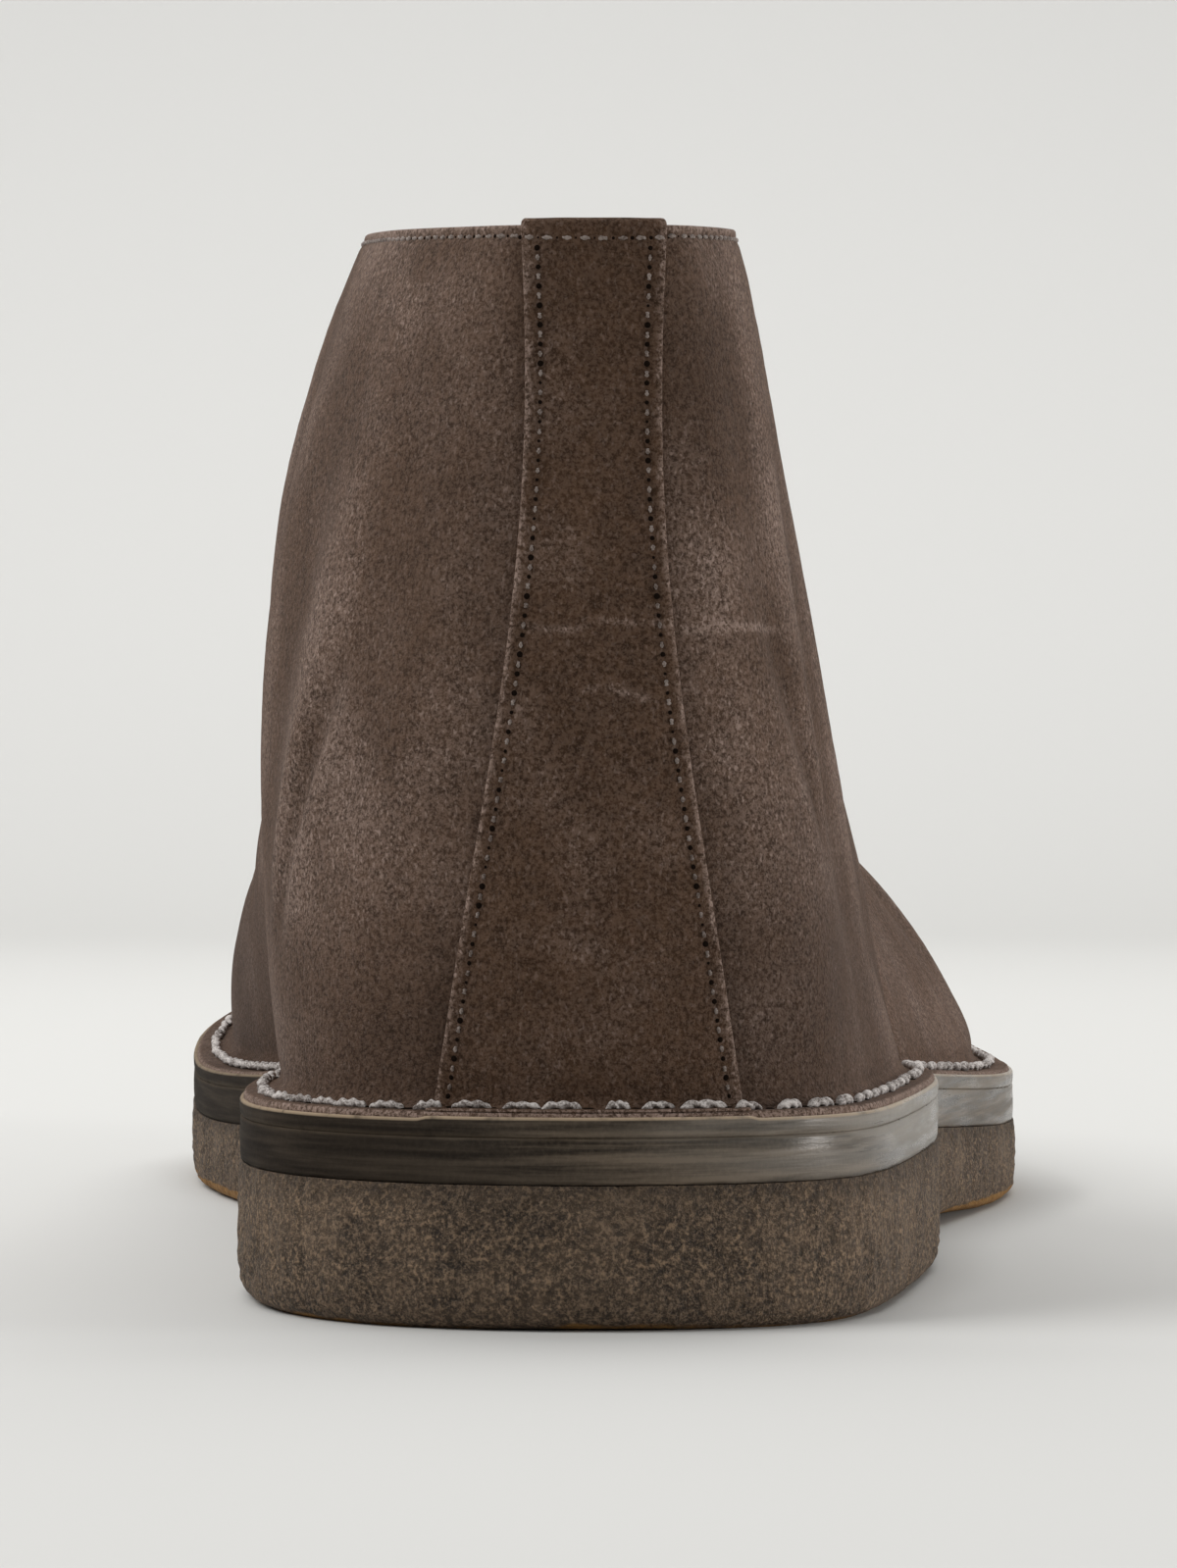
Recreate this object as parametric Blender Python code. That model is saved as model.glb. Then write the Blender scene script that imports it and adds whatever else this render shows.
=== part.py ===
"""Right ankle boot: stitch-down suede upper, leather midsole, crepe outsole.

Frame: +X is the wearer's right (the outer side of this foot), +Y the toe, +Z up. The origin is on
the ground, under the middle of the sole's plan. Sizes are in millimetres until a mesh is made.

The upper's outer face is one function, Last.wall: a cubic curve at each place round the foot, from
the sole's feather line up to the top line, which is the collar, the two facings and the vamp's ridge.
"""

import math
from collections import namedtuple

import bmesh
import bpy
import numpy as np
from mathutils import Matrix, Vector

MM = 0.001

# Driving sizes
SOLE_LENGTH = 302.0
BALL_HALF = 55.8
BACK_HEIGHT = 111.6
COLLAR_RISE = 0.085       # rise of the collar for each millimetre forward
TOE_SPRING = 13.0
SPRING_START = 194.0
SPRING_CURVE = 1.5
ARCH_LIFT = 1.2
ARCH_START, ARCH_END = 92.0, 164.0
HEEL_LIFT, HEEL_LIFT_END = 0.5, 8.0

# Layers, from the ground up
CREPE_HEEL, CREPE_FORE = 14.5, 9.8
WEDGE_START, WEDGE_END = 70.0, 185.0
GAP = 0.3
MIDSOLE = 4.5
WALL = 2.2
INSOLE = 3.0
STRAP = 1.1
TONGUE = 2.0

FLANGE_HEEL, FLANGE_FORE = 4.6, 5.4
BEND = 2.4                # radius where the flange turns up into the wall
MIDSOLE_INSET = 0.5
FLANGE_INSET = 0.4

COLUMNS = 40              # mesh columns from heel to toe on each side
WALL_ROWS = 13
THROAT_CROWDING = 0.35    # extra share of the columns that the throat gets
END_CROWDING = 0.9        # extra share that the rounded ends get

Outline = namedtuple("Outline", "share centre half")
SOLE_PLAN = [             # share of the length; middle line and half width in mm
    Outline(0.000, 0.0, 0.0),
    Outline(0.033, -0.4, 26.0),
    Outline(0.083, -1.6, 33.6),
    Outline(0.150, -1.0, 37.0),
    Outline(0.265, 2.0, 38.4),
    Outline(0.380, 3.8, 38.0),
    Outline(0.500, 4.2, 47.0),
    Outline(0.610, 2.8, 54.6),
    Outline(0.680, 0.9, BALL_HALF),
    Outline(0.780, -2.6, 52.8),
    Outline(0.870, -5.4, 43.4),
    Outline(0.945, -7.6, 28.4),
    Outline(0.982, -8.6, 16.6),
    Outline(1.000, -9.0, 0.0),
]

Ridge = namedtuple("Ridge", "along height")
FRONT_LINE = [            # side view of the shin, the instep and the vamp's ridge
    Ridge(104.0, 131.0),
    Ridge(117.0, 111.5),
    Ridge(131.0, 94.0),
    Ridge(146.0, 81.0),
    Ridge(164.0, 69.8),
    Ridge(184.0, 60.8),
    Ridge(205.0, 55.0),
    Ridge(228.0, 51.8),
    Ridge(257.0, 49.6),
]

Middle = namedtuple("Middle", "along across")
MIDDLE_LINE = [           # plan of the line that halves the collar, the throat and the vamp
    Middle(8.0, 0.6),
    Middle(60.0, -5.3),
    Middle(112.0, -9.2),
    Middle(155.0, -10.4),
    Middle(205.0, -10.5),
    Middle(257.0, -9.0),
]

Top = namedtuple("Top", "foot along half")
TOP_LINE = [              # where the wall that starts at `foot` ends, and how far off the middle line
    Top(0.0, 8.6, 0.0),
    Top(18.0, 14.0, 11.2),
    Top(45.0, 38.0, 18.4),
    Top(62.0, 56.0, 19.3),
    Top(81.0, 76.0, 18.4),
    Top(97.0, 93.0, 15.4),
    Top(107.0, 104.0, 11.4),
    Top(113.0, 110.5, 8.6),
    Top(121.0, 118.0, 7.4),
    Top(136.0, 132.0, 7.0),
    Top(151.0, 145.0, 6.5),
    Top(160.0, 152.0, 6.2),
    Top(165.0, 156.0, 4.8),
    Top(168.0, 158.0, 0.0),
    Top(186.0, 169.0, 0.0),
    Top(210.0, 186.0, 0.0),
    Top(240.0, 208.0, 0.0),
    Top(270.0, 232.0, 0.0),
    Top(290.0, 248.0, 0.0),
    Top(302.0, 256.0, 0.0),
]
COLLAR_CORNER = 110.5     # feet that lie before this end on the collar
THROAT_FOOT = 168.0       # feet beyond this end on the vamp's ridge
CORNER_SOFTNESS = 3.0     # how gently the collar turns down into the facing

Section = namedtuple(
    "Section", "foot rise_out out_out rise_in out_in drop lean_out lean_in")
SECTIONS = [              # _out is the outer side of the foot, _in the arch side
    # foot   low handle: rise and outward, each side       high handle: drop and outward
    Section(0.0, 28.0, 3.0, 28.0, 3.0, 28.0, 1.4, 1.4),
    Section(18.0, 26.0, -0.5, 26.0, 2.6, 28.0, 4.4, 7.0),
    Section(45.0, 25.0, -4.8, 26.0, 4.2, 28.0, 6.4, 11.8),
    Section(81.0, 25.0, -5.0, 27.0, 9.0, 28.0, 8.4, 12.6),
    Section(107.0, 25.0, -6.0, 28.0, 15.5, 22.0, 14.0, 14.5),
    Section(121.0, 24.0, -7.0, 28.0, 18.0, 16.0, 16.0, 17.0),
    Section(136.0, 20.0, -7.5, 26.0, 17.0, 9.0, 17.0, 18.5),
    Section(151.0, 13.0, -6.0, 23.0, 12.0, 4.0, 20.0, 22.0),
    Section(168.0, 8.5, -2.6, 20.5, 6.6, 0.0, 26.5, 27.0),
    Section(186.0, 8.5, 0.2, 19.0, 3.4, 0.0, 34.0, 30.0),
    Section(210.0, 9.0, 1.0, 17.5, 2.0, 0.0, 37.0, 31.5),
    Section(240.0, 10.0, 1.8, 15.0, 2.0, 0.0, 35.0, 32.0),
    Section(270.0, 12.0, 2.4, 14.0, 2.4, 0.0, 29.0, 29.0),
    Section(302.0, 14.0, 2.8, 14.0, 2.8, 0.0, 25.0, 25.0),
]

StrapRow = namedtuple("StrapRow", "height width")
STRAP_ROWS = [
    StrapRow(22.0, 31.5),
    StrapRow(42.0, 25.0),
    StrapRow(62.0, 18.5),
    StrapRow(90.0, 13.6),
    StrapRow(114.0, 14.2),
]
STRAP_FOLD = 7.0          # length that is turned over the collar to the inside
STRAP_ABOVE_FLANGE = 1.2
STRAP_EASE = 0.4          # extra room inside the collar, where the wall curves

EYELET_FROM_CORNER = {"upper": 15.0, "lower": 36.0}
EYELET_FROM_EDGE = 8.5
HOLE_RADIUS = 2.5
BARREL_RADIUS = 2.15
BORE_RADIUS = 1.75
LIP_RADIUS = 3.6
LIP = 0.5
LIP_GAP = 0.4             # the leather curves away under the lip
LACE_RADIUS = 1.1
LACE_SIDES = 8

TONGUE_HALF = 21.0
TONGUE_FOOT_HALF = 15.0
TONGUE_UNDER_VAMP = 14.0
TONGUE_ABOVE = 3.0
TONGUE_EASE = 0.3         # extra room under the vamp, where the wall curves
LACE_SPACE = 3.3          # room between facing and tongue for the lace's hidden runs


# ---------------------------------------------------------------- curves through rows

def closed_spline(knots, values, period):
    """Periodic cubic spline through the knots; returns a function of an array."""
    knots, values = np.asarray(knots, float), np.asarray(values, float)
    count = len(knots)
    step = np.diff(np.append(knots, knots[0] + period))
    slope = np.diff(np.append(values, values[0])) / step
    matrix, right = np.zeros((count, count)), np.zeros(count)
    for i in range(count):
        before = (i - 1) % count
        matrix[i, before] += step[before]
        matrix[i, i] += 2.0 * (step[before] + step[i])
        matrix[i, (i + 1) % count] += step[i]
        right[i] = 6.0 * (slope[i] - slope[before])
    bend = np.linalg.solve(matrix, right)

    def curve(x):
        x = np.mod(np.asarray(x, float) - knots[0], period) + knots[0]
        i = np.clip(np.searchsorted(knots, x, side="right") - 1, 0, count - 1)
        h, a = step[i], x - knots[i]
        b, j = h - a, (i + 1) % count
        ends = (bend[i] * b ** 3 + bend[j] * a ** 3) / (6.0 * h)
        left = (values[i] / h - bend[i] * h / 6.0) * b
        return ends + left + (values[j] / h - bend[j] * h / 6.0) * a

    return curve


def open_spline(knots, values):
    """Cubic spline through the knots, straight at and beyond both ends."""
    knots, values = np.asarray(knots, float), np.asarray(values, float)
    count = len(knots)
    step, matrix, right = np.diff(knots), np.eye(count), np.zeros(count)
    slope = np.diff(values) / step
    for i in range(1, count - 1):
        matrix[i, i - 1:i + 2] = step[i - 1], 2.0 * (step[i - 1] + step[i]), step[i]
        right[i] = 6.0 * (slope[i] - slope[i - 1])
    bend = np.linalg.solve(matrix, right)
    first = slope[0] - step[0] * bend[1] / 6.0
    last = slope[-1] + step[-1] * bend[-2] / 6.0

    def curve(x):
        x = np.asarray(x, float)
        inside = np.clip(x, knots[0], knots[-1])
        i = np.clip(np.searchsorted(knots, inside, side="right") - 1, 0, count - 2)
        h, a = step[i], inside - knots[i]
        b = h - a
        y = (bend[i] * b ** 3 + bend[i + 1] * a ** 3) / (6.0 * h)
        y = y + (values[i] / h - bend[i] * h / 6.0) * b
        y = y + (values[i + 1] / h - bend[i + 1] * h / 6.0) * a
        return y + first * np.minimum(x - knots[0], 0.0) + last * np.maximum(x - knots[-1], 0.0)

    return curve


def level_curve(knots, values):
    """Curve through the knots that never passes beyond a neighbouring value."""
    knots, values = np.asarray(knots, float), np.asarray(values, float)
    step = np.diff(knots)
    slope = np.diff(values) / step
    tangent = np.zeros(len(knots))
    for i in range(1, len(knots) - 1):
        if slope[i - 1] * slope[i] > 0.0:
            tangent[i] = 2.0 * slope[i - 1] * slope[i] / (slope[i - 1] + slope[i])
    tangent[0] = slope[0]

    def curve(x):
        x = np.clip(np.asarray(x, float), knots[0], knots[-1])
        i = np.clip(np.searchsorted(knots, x, side="right") - 1, 0, len(knots) - 2)
        h = step[i]
        t = (x - knots[i]) / h
        rise = values[i] * (1 + 2 * t) * (1 - t) ** 2 + values[i + 1] * t * t * (3 - 2 * t)
        return rise + h * (tangent[i] * t * (1 - t) ** 2 - tangent[i + 1] * t * t * (1 - t))

    return curve


def smooth_step(x, start, end):
    """0 before start, 1 after end, with level ends."""
    t = np.clip((np.asarray(x, float) - start) / (end - start), 0.0, 1.0)
    return t * t * (3.0 - 2.0 * t)


def run_along(line):
    """Distance along a line of points to each of them."""
    return np.append(0.0, np.cumsum(np.linalg.norm(np.diff(line, axis=0), axis=1)))


# ---------------------------------------------------------------- the last and the sole's layers

def turn_of(foot):
    """Angle round the plan for a distance from the back of the sole."""
    return math.acos(1.0 - 2.0 * foot / SOLE_LENGTH)


def foot_of(turn):
    """Distance from the back of the sole at an angle round the plan."""
    return SOLE_LENGTH * 0.5 * (1.0 - np.cos(turn))


def closed_from_sides(turns, outer, inner):
    """Spline round the plan through rows for the outer side and rows for the arch side."""
    knots = list(turns) + [2.0 * math.pi - t for t in turns[-2:0:-1]]
    return closed_spline(knots, list(outer) + list(inner[-2:0:-1]), 2.0 * math.pi)


def spring_line(along):
    """Height of the toe spring, the same for every layer of the sole."""
    reach = np.clip((np.asarray(along, float) - SPRING_START) / (SOLE_LENGTH - SPRING_START), 0.0, 1.0)
    return TOE_SPRING * reach ** SPRING_CURVE


def tread(along):
    """Underside of the crepe: flat at heel and ball, lifted in the arch and at both ends."""
    along = np.asarray(along, float)
    arch = np.clip((along - ARCH_START) / (ARCH_END - ARCH_START), 0.0, 1.0)
    back = np.clip(1.0 - along / HEEL_LIFT_END, 0.0, 1.0)
    return spring_line(along) + ARCH_LIFT * np.sin(math.pi * arch) ** 2 + HEEL_LIFT * back ** 2


def crepe_top(along):
    """Top of the crepe, a wedge from heel to ball."""
    wedge = smooth_step(along, WEDGE_START, WEDGE_END)
    return spring_line(along) + CREPE_HEEL + (CREPE_FORE - CREPE_HEEL) * wedge


def midsole_base(along):
    """Underside of the midsole."""
    return crepe_top(along) + GAP


def midsole_top(along):
    """Top of the midsole."""
    return midsole_base(along) + MIDSOLE


def insole_base(along):
    """Underside of the insole."""
    return midsole_top(along) + GAP


def flange_top(along):
    """Top of the upper's out-turned flange."""
    return midsole_top(along) + GAP + WALL


def flange_width(along):
    """Width of the flange that shows outside the wall's bend."""
    return FLANGE_HEEL + (FLANGE_FORE - FLANGE_HEEL) * smooth_step(along, 60.0, 180.0)


class Last:
    """The boot's outer form.

    `turn` is the angle round the plan, 0 at the back, pi at the toe and beyond that up the arch
    side. `way` runs up the wall.
    """

    def __init__(self):
        turns = [math.acos(1.0 - 2.0 * row.share) for row in SOLE_PLAN]
        outer = [row.centre + row.half for row in SOLE_PLAN]
        inner = [row.centre - row.half for row in SOLE_PLAN]
        self.plan_across = closed_from_sides(turns, outer, inner)
        sample = self.plan_across(np.linspace(0.0, 2.0 * math.pi, 2000))
        self.middle_across = 0.5 * float(sample.max() + sample.min())

        self.front_height = open_spline([r.along for r in FRONT_LINE], [r.height for r in FRONT_LINE])
        self.middle = open_spline([r.along for r in MIDDLE_LINE], [r.across for r in MIDDLE_LINE])
        top_turns = [turn_of(row.foot) for row in TOP_LINE]
        self.top_half = level_curve(top_turns, [row.half for row in TOP_LINE])
        alongs = [row.along for row in TOP_LINE]
        self.top_along = closed_from_sides(top_turns, alongs, alongs)

        turns = [turn_of(row.foot) for row in SECTIONS]

        def both(outer_name, inner_name):
            outer_values = [getattr(row, outer_name) for row in SECTIONS]
            inner_values = [getattr(row, inner_name) for row in SECTIONS]
            return closed_from_sides(turns, outer_values, inner_values)

        self.rise = both("rise_out", "rise_in")
        self.bulge = both("out_out", "out_in")
        self.drop = both("drop", "drop")
        self.lean = both("lean_out", "lean_in")

    def outward(self, turn):
        """Outward normal of the sole's plan, as across and along."""
        step = 1e-4
        across = self.plan_across(turn + step) - self.plan_across(turn - step)
        along = foot_of(turn + step) - foot_of(turn - step)
        length = np.hypot(across, along)
        return along / length, -across / length

    def plan(self, turn, inset):
        """Point of the sole's plan moved inwards by inset."""
        across, along = self.outward(turn)
        return self.plan_across(turn) - inset * across, foot_of(turn) - inset * along

    def top(self, turn):
        """Top line: collar, facing edge or ridge, as across, along and height."""
        mirrored = np.minimum(turn, 2.0 * math.pi - turn)
        side = np.where(turn <= math.pi, 1.0, -1.0)
        along = self.top_along(turn)
        collar = BACK_HEIGHT + COLLAR_RISE * (along - TOP_LINE[0].along)
        front = self.front_height(along)
        lower = np.exp(-collar / CORNER_SOFTNESS) + np.exp(-front / CORNER_SOFTNESS)
        height = -CORNER_SOFTNESS * np.log(lower)
        return self.middle(along) + side * self.top_half(mirrored), along, height

    def wall(self, turn, way):
        """Outer face: way runs from 0 at the flange's bend to 1 at the top line."""
        turn, way = np.broadcast_arrays(np.asarray(turn, float), np.asarray(way, float))
        turn = np.mod(turn, 2.0 * math.pi)
        out_x, out_y = self.outward(turn)
        foot_x, foot_y = self.plan(turn, flange_width(foot_of(turn)) + FLANGE_INSET)
        bend_y = foot_y + BEND * out_y
        foot = np.stack([foot_x, foot_y, flange_top(bend_y) + BEND], axis=-1)
        bulge, lean = self.bulge(turn), self.lean(turn)
        low = foot + np.stack([bulge * out_x, bulge * out_y, self.rise(turn)], axis=-1)
        top_x, top_y, top_z = self.top(turn)
        top = np.stack([top_x, top_y, top_z], axis=-1)
        slope = self.front_height(top_y + 0.5) - self.front_height(top_y - 0.5)
        on_ridge = smooth_step(foot_of(turn), COLLAR_CORNER, THROAT_FOOT)
        high_z = slope * on_ridge * lean * out_y - self.drop(turn)
        high = top + np.stack([lean * out_x, lean * out_y, high_z], axis=-1)
        t = way[..., None]
        curve = foot * (1 - t) ** 3 + 3 * low * t * (1 - t) ** 2
        return curve + 3 * high * t * t * (1 - t) + top * t ** 3

    def normal(self, turn, way):
        """Outward unit normal of the wall."""
        step = 1e-3
        way = np.minimum(way, 1.0 - 4.0 * step)     # the ridge's own end has no width
        low, high = np.clip(way - step, 0.0, 1.0), np.clip(way + step, 0.0, 1.0)
        up = self.wall(turn, high) - self.wall(turn, low)
        round_ = self.wall(turn + step, way) - self.wall(turn - step, way)
        cross = np.cross(round_, up)
        return cross / np.linalg.norm(cross, axis=-1, keepdims=True)


LAST = Last()


def placed(points):
    """Millimetres from the sole's back and middle line to metres in the part's frame."""
    points = np.asarray(points, float)
    shift = np.array([LAST.middle_across, 0.5 * SOLE_LENGTH, 0.0])
    return (points - shift) * MM


def side_turns():
    """Angles from heel to toe on the outer side: even along sole edge and top line, and closer
    together at the throat and at both rounded ends."""
    turn = np.linspace(0.0, math.pi, 4001)
    edge = np.stack(LAST.plan(turn, 0.0), axis=-1)
    top = np.stack(LAST.top(turn), axis=-1)
    share = THROAT_CROWDING * smooth_step(foot_of(turn), COLLAR_CORNER, THROAT_FOOT + 4.0)
    share = share + END_CROWDING * turn / math.pi
    for line in (edge, top):
        run = run_along(line)
        share = share + run / run[-1]
    return np.interp(np.linspace(0.0, share[-1], COLUMNS + 1), share, turn)


def round_turns():
    """The same angles on both sides, once round the foot."""
    side = side_turns()
    return np.append(side, 2.0 * math.pi - side[-2:0:-1])


# ---------------------------------------------------------------- mesh helpers

def material(name, colour, roughness, metallic=0.0):
    """Plain Principled finish."""
    made = bpy.data.materials.new(name)
    made.use_nodes = True
    shader = made.node_tree.nodes["Principled BSDF"]
    shader.inputs["Base Color"].default_value = (*colour, 1.0)
    shader.inputs["Roughness"].default_value = roughness
    shader.inputs["Metallic"].default_value = metallic
    return made


def add_object(name, mesh, finish):
    """Put a finished bmesh into the scene under a name."""
    bmesh.ops.recalc_face_normals(mesh, faces=mesh.faces)
    data = bpy.data.meshes.new(name)
    mesh.to_mesh(data)
    mesh.free()
    data.shade_smooth()
    data.set_sharp_from_angle(angle=math.radians(40.0))
    data.materials.append(finish)
    made = bpy.data.objects.new(name, data)
    bpy.context.scene.collection.objects.link(made)
    return made


def grid_faces(mesh, grid, closed_columns=False):
    """Quads between the rows of a grid of vertices; a repeated vertex makes a triangle."""
    for row, next_row in zip(grid, grid[1:]):
        pairs = list(zip(range(len(row)), range(1, len(row))))
        if closed_columns:
            pairs.append((len(row) - 1, 0))
        for i, j in pairs:
            corners = [row[i], row[j], next_row[j], next_row[i]]
            corners = [v for k, v in enumerate(corners) if v is not corners[k - 1]]
            if len(corners) > 2:
                mesh.faces.new(corners)


def thicken(mesh, thickness):
    """Close a sheet into a plate: a second skin along the vertex normals, and edge walls.

    A positive thickness goes against the sheet's normals.
    """
    sheet = list(mesh.verts)
    faces = list(mesh.faces)
    rim = [edge for edge in mesh.edges if edge.is_boundary]
    mesh.normal_update()
    copies = {v: mesh.verts.new(v.co - thickness * v.normal) for v in sheet}
    for face in faces:
        mesh.faces.new([copies[v] for v in reversed(face.verts)])
    for edge in rim:
        a, b = edge.verts
        mesh.faces.new([a, b, copies[b], copies[a]])


def point_outwards(mesh, face_index, direction):
    """Flip every face of a sheet unless the chosen face looks along direction."""
    bmesh.ops.recalc_face_normals(mesh, faces=mesh.faces)
    mesh.faces.ensure_lookup_table()
    if mesh.faces[face_index].normal.dot(Vector(direction)) < 0.0:
        bmesh.ops.reverse_faces(mesh, faces=mesh.faces)
    mesh.normal_update()


def slab(name, rings, finish):
    """Solid of the sole's plan: rings of (inset, height function), from the underside to the top."""
    turns = round_turns()
    mesh = bmesh.new()
    grid = []
    for inset, height in rings:
        across, along = LAST.plan(turns, inset(foot_of(turns)) if callable(inset) else inset)
        points = placed(np.stack([across, along, height(along)], axis=-1))
        grid.append([mesh.verts.new(p) for p in points])
    grid_faces(mesh, grid, closed_columns=True)
    for ring in (grid[0], grid[-1]):
        outer, arch = ring[:COLUMNS + 1], [ring[0]] + ring[:COLUMNS - 1:-1]
        grid_faces(mesh, [outer, arch])
    return add_object(name, mesh, finish)


# ---------------------------------------------------------------- sole pieces

def raised(base, lift):
    """Height function a fixed lift above another one."""
    return lambda along: base(along) + lift


def crepe_level(share):
    """Height function at a share of the crepe's thickness."""
    return lambda along: tread(along) + share * (crepe_top(along) - tread(along))


def make_outsole(finish):
    """Crepe wedge with a rounded lower edge and slightly full sides."""
    rings = [
        (2.2, tread),
        (0.8, raised(tread, 0.6)),
        (0.2, raised(tread, 1.9)),
        (0.0, crepe_level(0.45)),
        (0.1, crepe_level(0.85)),
        (0.4, crepe_top),
    ]
    return slab("outsole", rings, finish)


def make_midsole(finish):
    """Leather midsole with a trimmed, slightly rounded edge."""
    rings = [
        (MIDSOLE_INSET + 0.3, midsole_base),
        (MIDSOLE_INSET, raised(midsole_base, 0.4 * MIDSOLE)),
        (MIDSOLE_INSET + 0.1, midsole_top),
    ]
    return slab("midsole", rings, finish)


def inner_inset(foot):
    """How far the insole's edge lies inside the sole's plan."""
    return flange_width(foot) + FLANGE_INSET + WALL + GAP


def make_insole(finish):
    """Leather sock that fills the floor inside the wall."""
    rings = [
        (inner_inset, insole_base),
        (inner_inset, raised(insole_base, 0.7 * INSOLE)),
        (raised(inner_inset, 0.8), raised(insole_base, INSOLE)),
    ]
    return slab("insole", rings, finish)


# ---------------------------------------------------------------- upper

def upper_skins(turns):
    """Rows of the upper's outer and inner faces, from the flange's edge to the top line."""
    across, along = LAST.plan(turns, FLANGE_INSET)
    level = flange_top(along)
    outer = [np.stack([across, along, level], axis=-1)]
    inner = [np.stack([across, along, level - WALL], axis=-1)]
    out_x, out_y = LAST.outward(turns)
    out = np.stack([out_x, out_y, np.zeros_like(out_x)], axis=-1)
    centre = LAST.wall(turns, 0.0) + BEND * out
    for angle in (0.0, 30.0, 60.0):
        reach = math.radians(angle)
        toward = math.sin(reach) * out + np.array([0.0, 0.0, math.cos(reach)])
        outer.append(centre - BEND * toward)
        inner.append(centre - (BEND + WALL) * toward)
    for way in np.linspace(0.0, 1.0, WALL_ROWS):
        face = LAST.wall(turns, way)
        outer.append(face)
        inner.append(face - WALL * LAST.normal(turns, way))
    return outer, inner


def make_upper(finish):
    """One hollow wall with an out-turned flange, open at collar, throat and underneath."""
    turns = round_turns()
    count = len(turns)
    closed = [i for i in range(1, COLUMNS) if foot_of(turns[i]) >= THROAT_FOOT]
    mesh = bmesh.new()
    skins = []
    for rows in upper_skins(turns):
        for i in closed:
            rows[-1][i] = rows[-1][count - i] = 0.5 * (rows[-1][i] + rows[-1][count - i])
        grid = [[mesh.verts.new(p) for p in placed(row)] for row in rows]
        for i in closed:
            mesh.verts.remove(grid[-1][count - i])
            grid[-1][count - i] = grid[-1][i]
        grid_faces(mesh, grid, closed_columns=True)
        skins.append(grid)
    outer, inner = skins
    grid_faces(mesh, [outer[0], inner[0]], closed_columns=True)
    first, last = closed[0], count - closed[0]
    around = list(range(last, count)) + list(range(0, first + 1))
    grid_faces(mesh, [[outer[-1][i] for i in around], [inner[-1][i] for i in around]])
    return add_object("upper", mesh, finish)


# ---------------------------------------------------------------- back strap

def strap_width(height):
    """Width of the back strap at a height."""
    return open_spline([r.height for r in STRAP_ROWS], [r.width for r in STRAP_ROWS])(height)


def round_the_back(way, distance):
    """Angle that lies a signed distance from the back's middle along one height of the wall."""
    turn = np.linspace(-1.1, 1.1, 441)
    run = run_along(LAST.wall(turn, way))
    return np.interp(distance, run - run[len(run) // 2], turn)


def make_back_strap(finish):
    """Strap over the back seam, wide at the flange, turned over the collar's edge."""
    shares = np.linspace(-0.5, 0.5, 9)
    start = float(np.interp(STRAP_ABOVE_FLANGE, [0.0, 90.0], [0.0, 1.0]))
    rows = []
    for way in np.linspace(start, 1.0, 12):
        height = LAST.wall(0.0, way)[2]
        turn = round_the_back(way, shares * strap_width(height))
        rows.append(LAST.wall(turn, way) + GAP * LAST.normal(turn, way))
    turn = round_the_back(1.0, shares * strap_width(BACK_HEIGHT))
    rim, out = LAST.wall(turn, 1.0), LAST.normal(turn, 1.0)
    up = LAST.wall(turn, 1.0) - LAST.wall(turn, 0.98)
    up /= np.linalg.norm(up, axis=-1, keepdims=True)
    rows.append(rim + 0.1 * out + GAP * up)
    rows.append(rim - (WALL + 0.3) * out + GAP * up)
    for depth in (0.02, 0.35, 1.0):
        rows.append(rim - (WALL + GAP + STRAP_EASE) * out - depth * STRAP_FOLD * up)
    mesh = bmesh.new()
    grid_faces(mesh, [[mesh.verts.new(p) for p in placed(row)] for row in rows])
    point_outwards(mesh, 0, (0.0, -1.0, 0.0))
    thicken(mesh, -STRAP * MM)
    return add_object("back_strap", mesh, finish)


# ---------------------------------------------------------------- throat: tongue, eyelets, lace

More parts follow.
